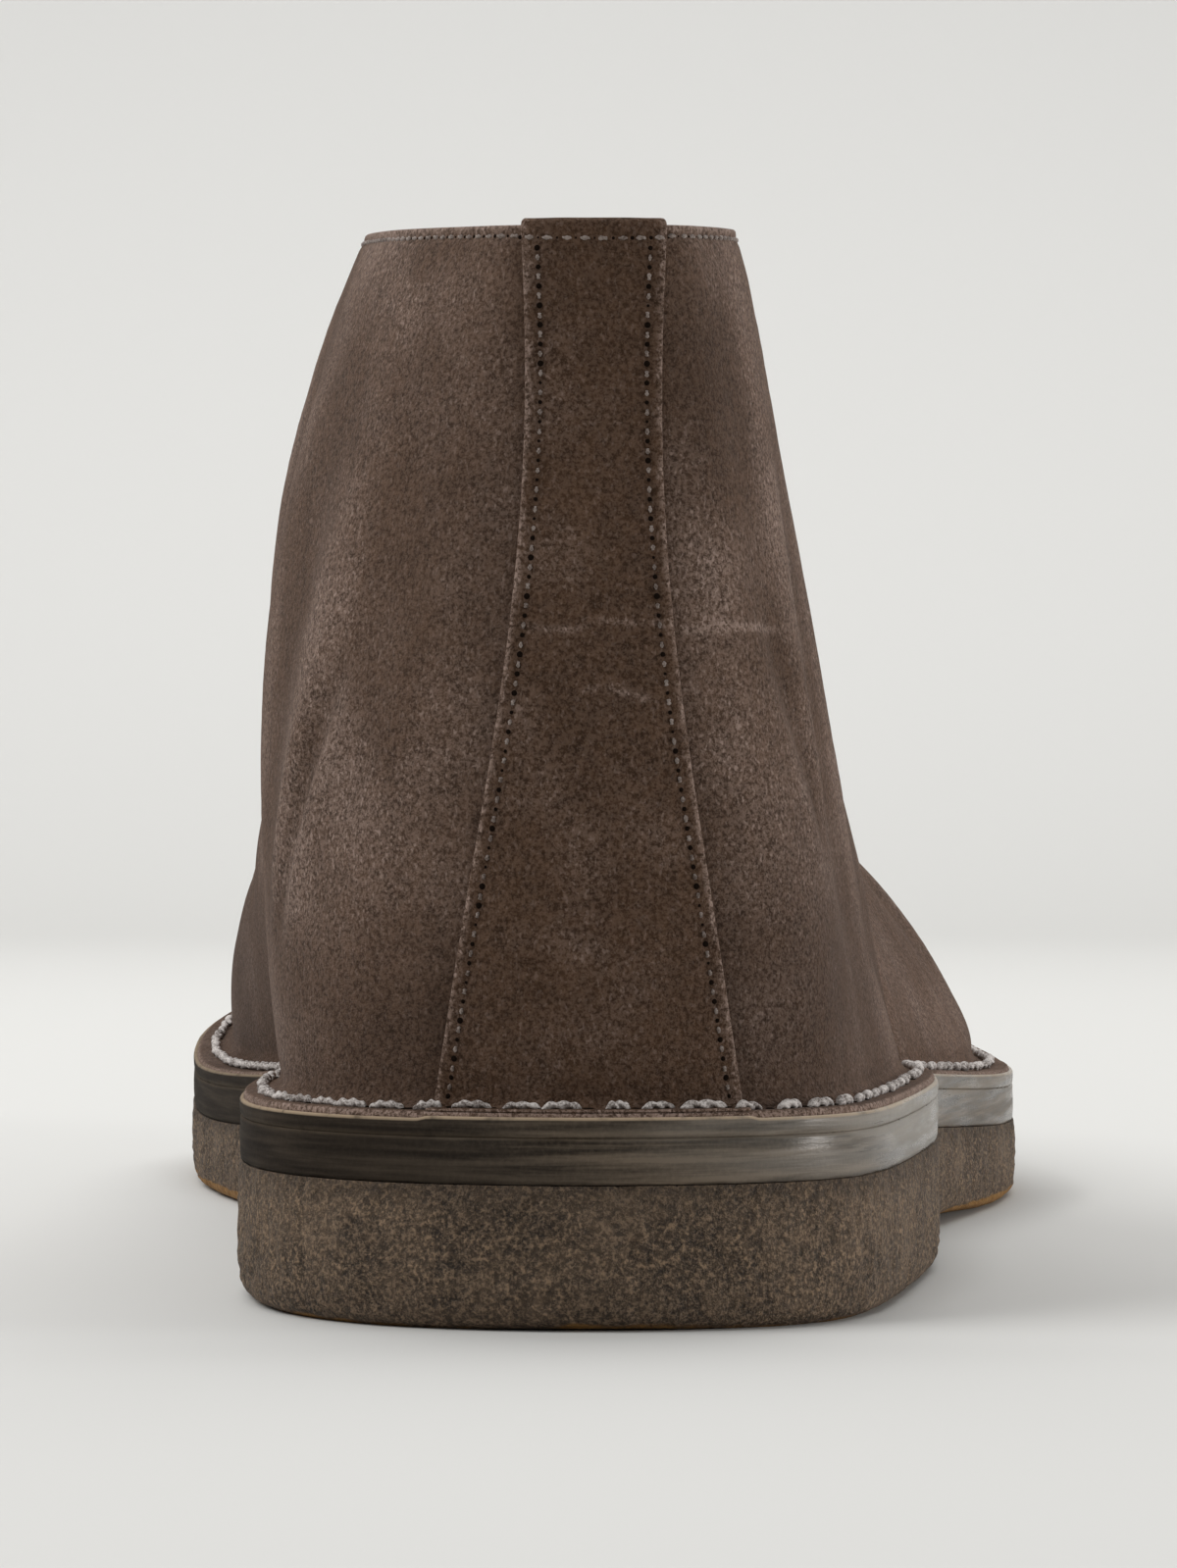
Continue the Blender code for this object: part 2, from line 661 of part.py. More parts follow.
class Throat:
    """Places over the throat: `down` along the facing's edge from the collar's corner, `across`
    over the foot from the middle line, and `lift` off the upper's outer face."""

    def __init__(self):
        turn = np.linspace(turn_of(COLLAR_CORNER), turn_of(THROAT_FOOT + 40.0), 1201)
        self.turn, self.run = turn, run_along(np.stack(LAST.top(turn), axis=-1))
        self.length = float(np.interp(turn_of(THROAT_FOOT), turn, self.run))

    @staticmethod
    def bridge(outer, inner):
        """Smooth line over the open throat, from the end of one facing to the end of the other."""
        gap = np.linalg.norm(outer[-1] - inner[-1])
        if gap < 0.5:
            return np.empty((0, 3))
        share = np.linspace(0.0, 1.0, 9)[1:-1, None]
        start, end = outer[-1] - outer[-2], inner[-2] - inner[-1]
        start *= gap / np.linalg.norm(start)
        end *= gap / np.linalg.norm(end)
        line = outer[-1] * (1 + 2 * share) * (1 - share) ** 2
        line = line + inner[-1] * share ** 2 * (3 - 2 * share)
        return line + start * share * (1 - share) ** 2 - end * share ** 2 * (1 - share)

    def row(self, down):
        """Line over the foot at one place down the facing, and each point's run from the middle."""
        turn = np.interp(down, self.run, self.turn)
        ways = np.linspace(0.35, 1.0, 40)
        outer = LAST.wall(turn, ways)
        inner = LAST.wall(2.0 * math.pi - turn, ways)
        line = np.concatenate([outer, self.bridge(outer, inner), inner[::-1]])
        keep = np.append(True, np.linalg.norm(np.diff(line, axis=0), axis=1) > 1e-6)
        line = line[keep]
        run = run_along(line)
        outer_end, inner_end = run_along(outer)[-1], run[-1] - run_along(inner)[-1]
        return line, 0.5 * (outer_end + inner_end) - run

    def edge(self, down):
        """Half the gap between the facings, measured over the foot."""
        turn = np.interp(down, self.run, self.turn)
        ends = LAST.wall(np.array([turn, 2.0 * math.pi - turn]), 1.0)
        return 0.5 * float(np.linalg.norm(ends[0] - ends[1]))

    def surface(self, down, across):
        """Point on the outer face."""
        line, run = self.row(down)
        return np.array([np.interp(across, run[::-1], line[::-1, k]) for k in range(3)])

    def frame(self, down, across):
        """Point on the outer face with its unit directions across, down and out."""
        middle = self.surface(down, across)
        side = self.surface(down, across + 1.0) - self.surface(down, across - 1.0)
        along = self.surface(down + 1.0, across) - self.surface(max(down - 1.0, 0.0), across)
        side /= np.linalg.norm(side)
        along /= np.linalg.norm(along)
        out = np.cross(side, along)
        return middle, side, along, out / np.linalg.norm(out)

    def place(self, down, across, lift):
        """Point a lift off the outer face."""
        middle, _, _, out = self.frame(down, across)
        return middle + lift * out


THROAT = Throat()


def make_tongue(finish):
    """Leather tongue, held under the vamp at its foot and free above."""
    end = THROAT.length + TONGUE_UNDER_VAMP
    rows = []
    for share in np.linspace(0.0, 1.0, 11):
        down = 1.0 + share * (end - 1.0)
        half = TONGUE_HALF + (TONGUE_FOOT_HALF - TONGUE_HALF) * share ** 2
        free = 1.0 - smooth_step(down, THROAT.length - 14.0, THROAT.length + 4.0)
        depth = WALL + GAP + TONGUE_EASE + (LACE_SPACE - GAP) * free
        rows.append([THROAT.place(down, a, -depth) for a in np.linspace(half, -half, 11)])
    rows = [np.array(row) for row in rows]
    upward = rows[0] - rows[1]
    upward /= np.linalg.norm(upward, axis=1, keepdims=True)
    corner = np.linspace(-1.0, 1.0, 11)[:, None] ** 4
    rows.insert(0, rows[0] + (TONGUE_ABOVE - 1.6 * corner) * upward)
    mesh = bmesh.new()
    grid_faces(mesh, [[mesh.verts.new(p) for p in placed(row)] for row in rows])
    point_outwards(mesh, 55, (0.0, 0.6, 0.8))
    thicken(mesh, TONGUE * MM)
    return add_object("tongue", mesh, finish)


def eyelet_places():
    """Name and throat frame of each eyelet."""
    for level, down in EYELET_FROM_CORNER.items():
        for side, sign in (("outer", 1.0), ("arch", -1.0)):
            across = sign * (THROAT.edge(down) + EYELET_FROM_EDGE)
            yield f"eyelet_{level}_{side}", THROAT.frame(down, across)


def frame_matrix(frame):
    """Matrix that puts local +Z along a throat frame's outward direction."""
    middle, side, along, out = (Vector(v) for v in frame)
    along = out.cross(side).normalized()
    turn = Matrix((side, along, out)).transposed().to_4x4()
    return Matrix.Translation(Vector(placed(middle))) @ turn


def punch_holes(upper):
    """Cut a round hole through the upper at each eyelet."""
    for name, frame in eyelet_places():
        cutter_mesh = bmesh.new()
        bmesh.ops.create_cone(
            cutter_mesh, cap_ends=True, segments=16, radius1=HOLE_RADIUS * MM,
            radius2=HOLE_RADIUS * MM, depth=4.0 * WALL * MM)
        cutter_mesh.transform(frame_matrix(frame))
        cutter = add_object(f"{name}_cutter", cutter_mesh, upper.data.materials[0])
        cutter.hide_render = True
        cutter.display_type = "WIRE"
        cut = upper.modifiers.new(f"{name}_hole", "BOOLEAN")
        cut.operation = "DIFFERENCE"
        cut.solver = "EXACT"
        cut.object = cutter


def make_eyelet(name, frame, finish):
    """Turned eyelet: lip on the leather, barrel through the hole."""
    low, high = -WALL - 0.3, LIP_GAP + LIP
    profile = [
        (BORE_RADIUS, low), (BARREL_RADIUS, low), (BARREL_RADIUS, LIP_GAP), (LIP_RADIUS, LIP_GAP),
        (LIP_RADIUS - 0.2, high - 0.1), (BARREL_RADIUS + 0.2, high), (BORE_RADIUS, high - 0.15),
    ]
    mesh = bmesh.new()
    rings = []
    for step in range(16):
        angle = 2.0 * math.pi * step / 16
        rings.append([mesh.verts.new((r * MM * math.cos(angle), r * MM * math.sin(angle), z * MM))
                      for r, z in profile])
    for ring, next_ring in zip(rings, rings[1:] + rings[:1]):
        for i in range(len(profile)):
            j = (i + 1) % len(profile)
            mesh.faces.new([ring[i], ring[j], next_ring[j], next_ring[i]])
    mesh.transform(frame_matrix(frame))
    return add_object(name, mesh, finish)


def lace_half(side, level_at_middle):
    """Route from the middle of the lower bar to the far upper eyelet: down, across, lift."""
    low, high = EYELET_FROM_CORNER["lower"], EYELET_FROM_CORNER["upper"]
    low_hole = THROAT.edge(low) + EYELET_FROM_EDGE
    high_hole = THROAT.edge(high) + EYELET_FROM_EDGE
    edge = THROAT.edge(0.5 * (low + high))
    over = LIP_GAP + LIP + LACE_RADIUS + 0.4
    under = -0.5 * (WALL + WALL + LACE_SPACE)
    rows = [
        (low, 0.0, over - 0.5),
        (low, 0.5 * low_hole, over - 0.1),
        (low, low_hole - 2.6, over + 0.4),
        (low, low_hole - 0.4, over - 0.5),
        (low, low_hole, 0.0),
        (low, low_hole, -WALL - 0.6),
        (low - 1.2, low_hole - 1.5, under - 0.1),
        (low - 4.0, low_hole - 4.8, under),
        (low - 6.2, edge + 0.8, under),
        (low - 8.0, 0.6 * edge, under + 1.2),
        (0.5 * (low + high), 0.0, level_at_middle),
        (high + 7.6, -0.62 * edge, 0.5 * over),
        (high + 5.2, -(edge + 1.4), over),
        (high + 1.4, -(high_hole - 2.4), over + 0.4),
        (high + 0.2, -(high_hole - 0.4), over - 0.5),
        (high, -high_hole, 0.0),
        (high, -high_hole, -WALL - 1.0),
    ]
    return [(down, side * across, lift) for down, across, lift in rows]


def lace_route():
    """The whole lace: a bar over the lower eyelets and a crossing into the upper ones."""
    spread = LACE_RADIUS + 0.5 * GAP
    return lace_half(-1.0, spread)[:0:-1] + lace_half(1.0, -spread)


def smooth_path(points, samples_per_point):
    """Even samples of a smooth curve through a route's points."""
    steps = np.linalg.norm(np.diff(points, axis=0), axis=1)
    knots = np.append(0.0, np.cumsum(np.sqrt(steps)))
    curves = [open_spline(knots, points[:, k]) for k in range(3)]
    samples = np.linspace(0.0, knots[-1], samples_per_point * len(points))
    return np.stack([curve(samples) for curve in curves], axis=-1)


def make_lace(finish):
    """One round lace as a tube swept along its route."""
    route = np.array([THROAT.place(*row) for row in lace_route()])
    path = smooth_path(route, 2)
    forward = np.gradient(path, axis=0)
    forward /= np.linalg.norm(forward, axis=1, keepdims=True)
    side = np.cross(forward[0], (0.0, 0.0, 1.0))
    mesh = bmesh.new()
    rings = []
    for place, ahead in zip(path, forward):
        side -= ahead * side.dot(ahead)
        side /= np.linalg.norm(side)
        up = np.cross(ahead, side)
        ring = []
        for step in range(LACE_SIDES):
            angle = 2.0 * math.pi * step / LACE_SIDES
            offset = LACE_RADIUS * (math.cos(angle) * side + math.sin(angle) * up)
            ring.append(mesh.verts.new(placed(place + offset)))
        rings.append(ring)
    grid_faces(mesh, rings, closed_columns=True)
    mesh.faces.new(rings[0])
    mesh.faces.new(rings[-1])
    return add_object("lace", mesh, finish)


def main():
    """Clear the scene, make the finishes and build each piece."""
    for old in list(bpy.data.objects):
        bpy.data.objects.remove(old, do_unlink=True)
    suede = material("suede", (0.075, 0.045, 0.033), 0.9)
    crepe = material("crepe", (0.07, 0.048, 0.032), 0.85)
    edge = material("burnished_leather", (0.03, 0.022, 0.018), 0.4)
    tan = material("tan_leather", (0.42, 0.26, 0.14), 0.6)
    metal = material("dark_metal", (0.09, 0.07, 0.06), 0.4, 1.0)
    cord = material("lace_cord", (0.05, 0.032, 0.024), 0.8)
    make_outsole(crepe)
    make_midsole(edge)
    make_insole(tan)
    upper = make_upper(suede)
    make_back_strap(suede)
    make_tongue(suede)
    punch_holes(upper)
    for name, frame in eyelet_places():
        make_eyelet(name, frame, metal)
    make_lace(cord)


main()
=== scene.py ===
"""Finished look of a right desert boot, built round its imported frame.

The upper is napped suede, turned out at the foot and stitched down to a leather midsole over a
wedge of crepe rubber. Sizes are in millimetres until a mesh is made. +X is the outer side of this
right foot, +Y the toe and +Z up; `foot` and `along` are counted from the back of the sole.
"""

import logging
import math
from dataclasses import dataclass, field
from enum import Enum
from typing import Callable, NamedTuple, Sequence

import bmesh
import bpy
import numpy as np
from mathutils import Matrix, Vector, noise


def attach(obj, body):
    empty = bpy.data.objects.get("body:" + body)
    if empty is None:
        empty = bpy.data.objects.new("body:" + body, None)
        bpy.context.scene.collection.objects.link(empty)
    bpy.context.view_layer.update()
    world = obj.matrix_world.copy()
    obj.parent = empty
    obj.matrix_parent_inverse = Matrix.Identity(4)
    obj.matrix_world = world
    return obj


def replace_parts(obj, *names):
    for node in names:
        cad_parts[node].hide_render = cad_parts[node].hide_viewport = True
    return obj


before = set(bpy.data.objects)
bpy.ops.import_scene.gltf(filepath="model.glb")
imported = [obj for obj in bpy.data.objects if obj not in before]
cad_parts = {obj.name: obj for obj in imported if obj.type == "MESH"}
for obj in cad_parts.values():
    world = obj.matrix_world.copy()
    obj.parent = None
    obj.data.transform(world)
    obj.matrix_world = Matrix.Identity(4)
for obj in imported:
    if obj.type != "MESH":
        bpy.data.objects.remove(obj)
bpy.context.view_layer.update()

Array = np.ndarray
Triple = tuple[float, float, float]
Colour = Triple
Curve = Callable[[Array], Array]
Finish = bpy.types.Material
Piece = bpy.types.Object
Socket = bpy.types.NodeSocket

MM = 0.001
FULL_TURN = 2.0 * math.pi
UP = np.array([0.0, 0.0, 1.0])
log = logging.getLogger("desert_boot")


class Side(Enum):
    """Side of the boot, with the sign of +X on it."""

    OUTER = 1.0
    ARCH = -1.0


# ---- tables of the last

class Outline(NamedTuple):
    """Row of the sole's plan: share of the length, middle line and half width."""

    share: float
    centre: float
    half: float


class Ridge(NamedTuple):
    """Row of the front line seen from the side."""

    along: float
    height: float


class Middle(NamedTuple):
    """Row of the line that halves the collar, the throat and the vamp."""

    along: float
    across: float


class Top(NamedTuple):
    """Where the wall that starts at a foot ends, and how far off the middle line."""

    foot: float
    along: float
    half: float


class Section(NamedTuple):
    """Handles of the wall's curve at one foot, outer side and arch side."""

    foot: float
    rise_out: float
    out_out: float
    rise_in: float
    out_in: float
    drop: float
    lean_out: float
    lean_in: float


class StrapRow(NamedTuple):
    """Width of the back strap at a height."""

    height: float
    width: float


SOLE_PLAN = (
    Outline(0.000, 0.0, 0.0),
    Outline(0.033, -0.4, 26.0),
    Outline(0.083, -1.6, 33.6),
    Outline(0.150, -1.0, 37.0),
    Outline(0.265, 2.0, 38.4),
    Outline(0.380, 3.8, 38.0),
    Outline(0.500, 4.2, 47.0),
    Outline(0.610, 2.8, 54.6),
    Outline(0.680, 0.9, 55.8),
    Outline(0.780, -2.6, 52.8),
    Outline(0.870, -5.4, 43.4),
    Outline(0.945, -7.6, 28.4),
    Outline(0.982, -8.6, 16.6),
    Outline(1.000, -9.0, 0.0),
)
FRONT_LINE = (
    Ridge(104.0, 131.0),
    Ridge(117.0, 111.5),
    Ridge(131.0, 94.0),
    Ridge(146.0, 81.0),
    Ridge(164.0, 69.8),
    Ridge(184.0, 60.8),
    Ridge(205.0, 55.0),
    Ridge(228.0, 51.8),
    Ridge(257.0, 49.6),
)
MIDDLE_LINE = (
    Middle(8.0, 0.6),
    Middle(60.0, -5.3),
    Middle(112.0, -9.2),
    Middle(155.0, -10.4),
    Middle(205.0, -10.5),
    Middle(257.0, -9.0),
)
TOP_LINE = (
    Top(0.0, 8.6, 0.0),
    Top(18.0, 14.0, 11.2),
    Top(45.0, 38.0, 18.4),
    Top(62.0, 56.0, 19.3),
    Top(81.0, 76.0, 18.4),
    Top(97.0, 93.0, 15.4),
    Top(107.0, 104.0, 11.4),
    Top(113.0, 110.5, 8.6),
    Top(121.0, 118.0, 7.4),
    Top(136.0, 132.0, 7.0),
    Top(151.0, 145.0, 6.5),
    Top(160.0, 152.0, 6.2),
    Top(165.0, 156.0, 4.8),
    Top(168.0, 158.0, 0.0),
    Top(186.0, 169.0, 0.0),
    Top(210.0, 186.0, 0.0),
    Top(240.0, 208.0, 0.0),
    Top(270.0, 232.0, 0.0),
    Top(290.0, 248.0, 0.0),
    Top(302.0, 256.0, 0.0),
)
SECTIONS = (
    Section(0.0, 28.0, 3.0, 28.0, 3.0, 28.0, 1.4, 1.4),
    Section(18.0, 26.0, -0.5, 26.0, 2.6, 28.0, 4.4, 7.0),
    Section(45.0, 25.0, -4.8, 26.0, 4.2, 28.0, 6.4, 11.8),
    Section(81.0, 25.0, -5.0, 27.0, 9.0, 28.0, 8.4, 12.6),
    Section(107.0, 25.0, -6.0, 28.0, 15.5, 22.0, 14.0, 14.5),
    Section(121.0, 24.0, -7.0, 28.0, 18.0, 16.0, 16.0, 17.0),
    Section(136.0, 20.0, -7.5, 26.0, 17.0, 9.0, 17.0, 18.5),
    Section(151.0, 13.0, -6.0, 23.0, 12.0, 4.0, 20.0, 22.0),
    Section(168.0, 8.5, -2.6, 20.5, 6.6, 0.0, 26.5, 27.0),
    Section(186.0, 8.5, 0.2, 19.0, 3.4, 0.0, 34.0, 30.0),
    Section(210.0, 9.0, 1.0, 17.5, 2.0, 0.0, 37.0, 31.5),
    Section(240.0, 10.0, 1.8, 15.0, 2.0, 0.0, 35.0, 32.0),
    Section(270.0, 12.0, 2.4, 14.0, 2.4, 0.0, 29.0, 29.0),
    Section(302.0, 14.0, 2.8, 14.0, 2.8, 0.0, 25.0, 25.0),
)
STRAP_ROWS = (
    StrapRow(22.0, 31.5),
    StrapRow(42.0, 25.0),
    StrapRow(62.0, 18.5),
    StrapRow(90.0, 13.6),
    StrapRow(114.0, 14.2),
)


# ---- curves through rows

def closed_spline(knots: Sequence[float], values: Sequence[float], period: float) -> Curve:
    """Periodic cubic spline.

    Args:
        knots: Rising places of the values.
        values: The value at each knot.
        period: Distance after which the curve repeats.

    Returns:
        A function of an array of places.
    """
    knots, values = np.array([knots, values], float)
    count = len(knots)
    step = np.diff(np.append(knots, knots[0] + period))
    slope = np.diff(np.append(values, values[0])) / step
    matrix, right = np.zeros((count, count)), np.zeros(count)
    for i in range(count):
        before = (i - 1) % count
        matrix[i, before] += step[before]
        matrix[i, i] += 2.0 * (step[before] + step[i])
        matrix[i, (i + 1) % count] += step[i]
        right[i] = 6.0 * (slope[i] - slope[before])
    bend = np.linalg.solve(matrix, right)

    def curve(x: Array) -> Array:
        """Value of the spline at x."""
        x = np.mod(x - knots[0], period) + knots[0]
        i = np.clip(np.searchsorted(knots, x, side="right") - 1, 0, count - 1)
        h, a = step[i], x - knots[i]
        b, j = h - a, (i + 1) % count
        ends = (bend[i] * b ** 3 + bend[j] * a ** 3) / (6.0 * h)
        left = (values[i] / h - bend[i] * h / 6.0) * b
        return ends + left + (values[j] / h - bend[j] * h / 6.0) * a

    return curve


def open_spline(knots: Sequence[float], values: Sequence[float]) -> Curve:
    """Cubic spline that is straight at and beyond both ends.

    Args:
        knots: Rising places of the values.
        values: The value at each knot.

    Returns:
        A function of an array of places.
    """
    knots, values = np.array([knots, values], float)
    count = len(knots)
    step, matrix, right = np.diff(knots), np.eye(count), np.zeros(count)
    slope = np.diff(values) / step
    for i in range(1, count - 1):
        matrix[i, i - 1:i + 2] = step[i - 1], 2.0 * (step[i - 1] + step[i]), step[i]
        right[i] = 6.0 * (slope[i] - slope[i - 1])
    bend = np.linalg.solve(matrix, right)
    first = slope[0] - step[0] * bend[1] / 6.0
    last = slope[-1] + step[-1] * bend[-2] / 6.0

    def curve(x: Array) -> Array:
        """Value of the spline at x."""
        inside = np.clip(x, knots[0], knots[-1])
        i = np.clip(np.searchsorted(knots, inside, side="right") - 1, 0, count - 2)
        h, a = step[i], inside - knots[i]
        b = h - a
        y = (bend[i] * b ** 3 + bend[i + 1] * a ** 3) / (6.0 * h)
        y = y + (values[i] / h - bend[i] * h / 6.0) * b
        y = y + (values[i + 1] / h - bend[i + 1] * h / 6.0) * a
        return y + first * np.minimum(x - knots[0], 0.0) + last * np.maximum(x - knots[-1], 0.0)

    return curve


def level_curve(knots: Sequence[float], values: Sequence[float]) -> Curve:
    """Curve that never passes beyond a neighbouring value.

    Args:
        knots: Rising places of the values.
        values: The value at each knot.

    Returns:
        A function of an array of places.
    """
    knots, values = np.array([knots, values], float)
    step = np.diff(knots)
    slope = np.diff(values) / step
    tangent = np.zeros(len(knots))
    for i in range(1, len(knots) - 1):
        if slope[i - 1] * slope[i] > 0.0:
            tangent[i] = 2.0 * slope[i - 1] * slope[i] / (slope[i - 1] + slope[i])
    tangent[0] = slope[0]

    def curve(x: Array) -> Array:
        """Value of the curve at x."""
        x = np.clip(x, knots[0], knots[-1])
        i = np.clip(np.searchsorted(knots, x, side="right") - 1, 0, len(knots) - 2)
        h = step[i]
        t = (x - knots[i]) / h
        rise = values[i] * (1 + 2 * t) * (1 - t) ** 2 + values[i + 1] * t * t * (3 - 2 * t)
        return rise + h * (tangent[i] * t * (1 - t) ** 2 - tangent[i + 1] * t * t * (1 - t))

    return curve


def smooth_step(x: Array, start: float, end: float) -> Array:
    """0 before start, 1 after end, with level ends."""
    t = np.clip((x - start) / (end - start), 0.0, 1.0)
    return t * t * (3.0 - 2.0 * t)


def levels(*stops: tuple[float, int]) -> Array:
    """Levels from stop to stop, each stop given with the number of steps that follow it."""
    parts = [np.linspace(low, high, steps, endpoint=False)
             for (low, steps), (high, _) in zip(stops, stops[1:])]
    return np.append(np.concatenate(parts), stops[-1][0])


def from_back(turn: Array) -> Array:
    """Angles round the plan counted from the back, -pi to pi."""
    return np.mod(turn + math.pi, FULL_TURN) - math.pi


def run_along(line: Array) -> Array:
    """Distance along a line of points to each of them."""
    return np.append(0.0, np.cumsum(np.linalg.norm(np.diff(line, axis=0), axis=1)))


def read_along(places: Array, run: Array, rows: Array) -> Array:
    """Points or directions read at distances along a line."""
    return np.stack([np.interp(places, run, rows[:, k]) for k in range(3)], axis=-1)


def unit(vectors: Array) -> Array:
    """Vectors scaled to length one."""
    return vectors / np.maximum(np.linalg.norm(vectors, axis=-1, keepdims=True), 1e-9)


def circle(count: int, first: Array, second: Array) -> Array:
    """Unit circle of points in the plane of two directions."""
    angle = np.linspace(0.0, FULL_TURN, count, endpoint=False)[:, None]
    return np.cos(angle) * first + np.sin(angle) * second


def grain(points: Array, size: float, depth: int = 2) -> Array:
    """Soft random relief, the same each run.

    Args:
        points: Places in millimetres, any layout with three values last.
        size: Size of one grain in millimetres.
        depth: How many finer layers are added.

    Returns:
        Values from about -1 to 1 in the layout of the points.
    """
    flat = points.reshape(-1, 3) / size
    values = [noise.fractal(Vector(p), 1.0, 2.0, depth) for p in flat]
    return np.array(values).reshape(points.shape[:-1])


# ---- the last

@dataclass
class Last:
    """The boot's form as functions of the angle round the plan and the rise up the upper.

    The angle `turn` is 0 at the back, pi at the toe and beyond that up the arch side. `rise` is -2
    at the flange's edge, -1 where the flange starts to bend up, 0 at the wall's foot and 1 at the
    top line.
    """

    length: float = 302.0
    back_height: float = 111.6
    collar_rise: float = 0.085
    toe_spring: float = 13.0
    spring_start: float = 194.0
    spring_curve: float = 1.5
    arch_lift: float = 1.2
    arch_start: float = 92.0
    arch_end: float = 164.0
    heel_lift: float = 0.5
    heel_lift_end: float = 8.0
    crepe_heel: float = 14.5
    crepe_fore: float = 9.8
    wedge_start: float = 70.0
    wedge_end: float = 185.0
    gap: float = 0.3
    midsole: float = 4.5
    wall_thickness: float = 2.2
    flange_heel: float = 4.6
    flange_fore: float = 5.4
    bend: float = 2.4
    flange_inset: float = 0.4
    collar_corner: float = 110.5
    throat_foot: float = 168.0
    corner_softness: float = 3.0

    def __post_init__(self) -> None:
        """Work out the curves through the tables."""
        turns = [math.acos(1.0 - 2.0 * row.share) for row in SOLE_PLAN]
        outer = [row.centre + row.half for row in SOLE_PLAN]
        inner = [row.centre - row.half for row in SOLE_PLAN]
        self.plan_across = self.closed_from_sides(turns, outer, inner)
        sample = self.plan_across(np.linspace(0.0, FULL_TURN, 2000))
        self.middle_across = 0.5 * float(sample.max() + sample.min())
        self.front_height = open_spline(*zip(*FRONT_LINE))
        self.middle = open_spline(*zip(*MIDDLE_LINE))
        top_turns = [self.turn_of(row.foot) for row in TOP_LINE]
        self.top_half = level_curve(top_turns, [row.half for row in TOP_LINE])
        alongs = [row.along for row in TOP_LINE]
        self.top_along = self.closed_from_sides(top_turns, alongs, alongs)
        self.rise = self.section_curve("rise_out", "rise_in")
        self.bulge = self.section_curve("out_out", "out_in")
        self.drop = self.section_curve("drop", "drop")
        self.lean = self.section_curve("lean_out", "lean_in")

    @staticmethod
    def closed_from_sides(turns: Sequence[float], outer: Sequence[float],
                          inner: Sequence[float]) -> Curve:
        """Spline once round the plan, through values from heel to toe on either side."""
        knots = list(turns) + [FULL_TURN - t for t in list(turns)[-2:0:-1]]
        return closed_spline(knots, list(outer) + list(inner)[-2:0:-1], FULL_TURN)

    def section_curve(self, outer: str, inner: str) -> Curve:
        """Curve round the foot through one pair of columns of the sections."""
        turns = [self.turn_of(row.foot) for row in SECTIONS]
        return self.closed_from_sides(turns, [getattr(row, outer) for row in SECTIONS],
                                      [getattr(row, inner) for row in SECTIONS])

    def turn_of(self, foot: Array) -> Array:
        """Angle round the plan for a distance from the back of the sole."""
        return np.arccos(1.0 - 2.0 * foot / self.length)

    def foot_of(self, turn: Array) -> Array:
        """Distance from the back of the sole at an angle round the plan."""
        return self.length * 0.5 * (1.0 - np.cos(turn))

    def spring_line(self, along: Array) -> Array:
        """Height of the toe spring, the same for every layer of the sole."""
        reach = (along - self.spring_start) / (self.length - self.spring_start)
        return self.toe_spring * np.clip(reach, 0.0, 1.0) ** self.spring_curve

    def tread(self, along: Array) -> Array:
        """Underside of the crepe."""
        arch = np.clip((along - self.arch_start) / (self.arch_end - self.arch_start), 0.0, 1.0)
        back = np.clip(1.0 - along / self.heel_lift_end, 0.0, 1.0)
        lift = self.arch_lift * np.sin(math.pi * arch) ** 2 + self.heel_lift * back ** 2
        return self.spring_line(along) + lift

    def crepe_top(self, along: Array) -> Array:
        """Top of the crepe wedge."""
        wedge = smooth_step(along, self.wedge_start, self.wedge_end)
        return self.spring_line(along) + self.crepe_heel + (self.crepe_fore - self.crepe_heel) * wedge

    def midsole_top(self, along: Array) -> Array:
        """Top of the leather midsole."""
        return self.crepe_top(along) + self.gap + self.midsole

    def flange_top(self, along: Array) -> Array:
        """Top of the upper's out-turned flange."""
        return self.midsole_top(along) + self.gap + self.wall_thickness

    def flange_width(self, along: Array) -> Array:
        """Width of the flange outside the wall."""
        return self.flange_heel + (self.flange_fore - self.flange_heel) * smooth_step(along, 60.0, 180.0)

    def outward(self, turn: Array) -> Array:
        """Outward unit vectors of the sole's plan."""
        step = 1e-4
        across = self.plan_across(turn + step) - self.plan_across(turn - step)
        along = self.foot_of(turn + step) - self.foot_of(turn - step)
        length = np.hypot(across, along)
        return np.stack([along / length, -across / length, np.zeros_like(length)], axis=-1)

    def plan(self, turn: Array, inset: Array) -> Array:
        """Points of the sole's plan moved inwards, at height 0."""
        edge = np.stack([self.plan_across(turn), self.foot_of(turn), np.zeros_like(turn)], axis=-1)
        return edge - inset[..., None] * self.outward(turn)

    def top(self, turn: Array) -> Array:
        """Top line: collar, facing edge or ridge."""
        mirrored = np.minimum(turn, FULL_TURN - turn)
        side = np.where(turn <= math.pi, 1.0, -1.0)
        along = self.top_along(turn)
        collar = self.back_height + self.collar_rise * (along - TOP_LINE[0].along)
        front = self.front_height(along)
        soft = self.corner_softness
        height = -soft * np.log(np.exp(-collar / soft) + np.exp(-front / soft))
        return np.stack([self.middle(along) + side * self.top_half(mirrored), along, height], axis=-1)

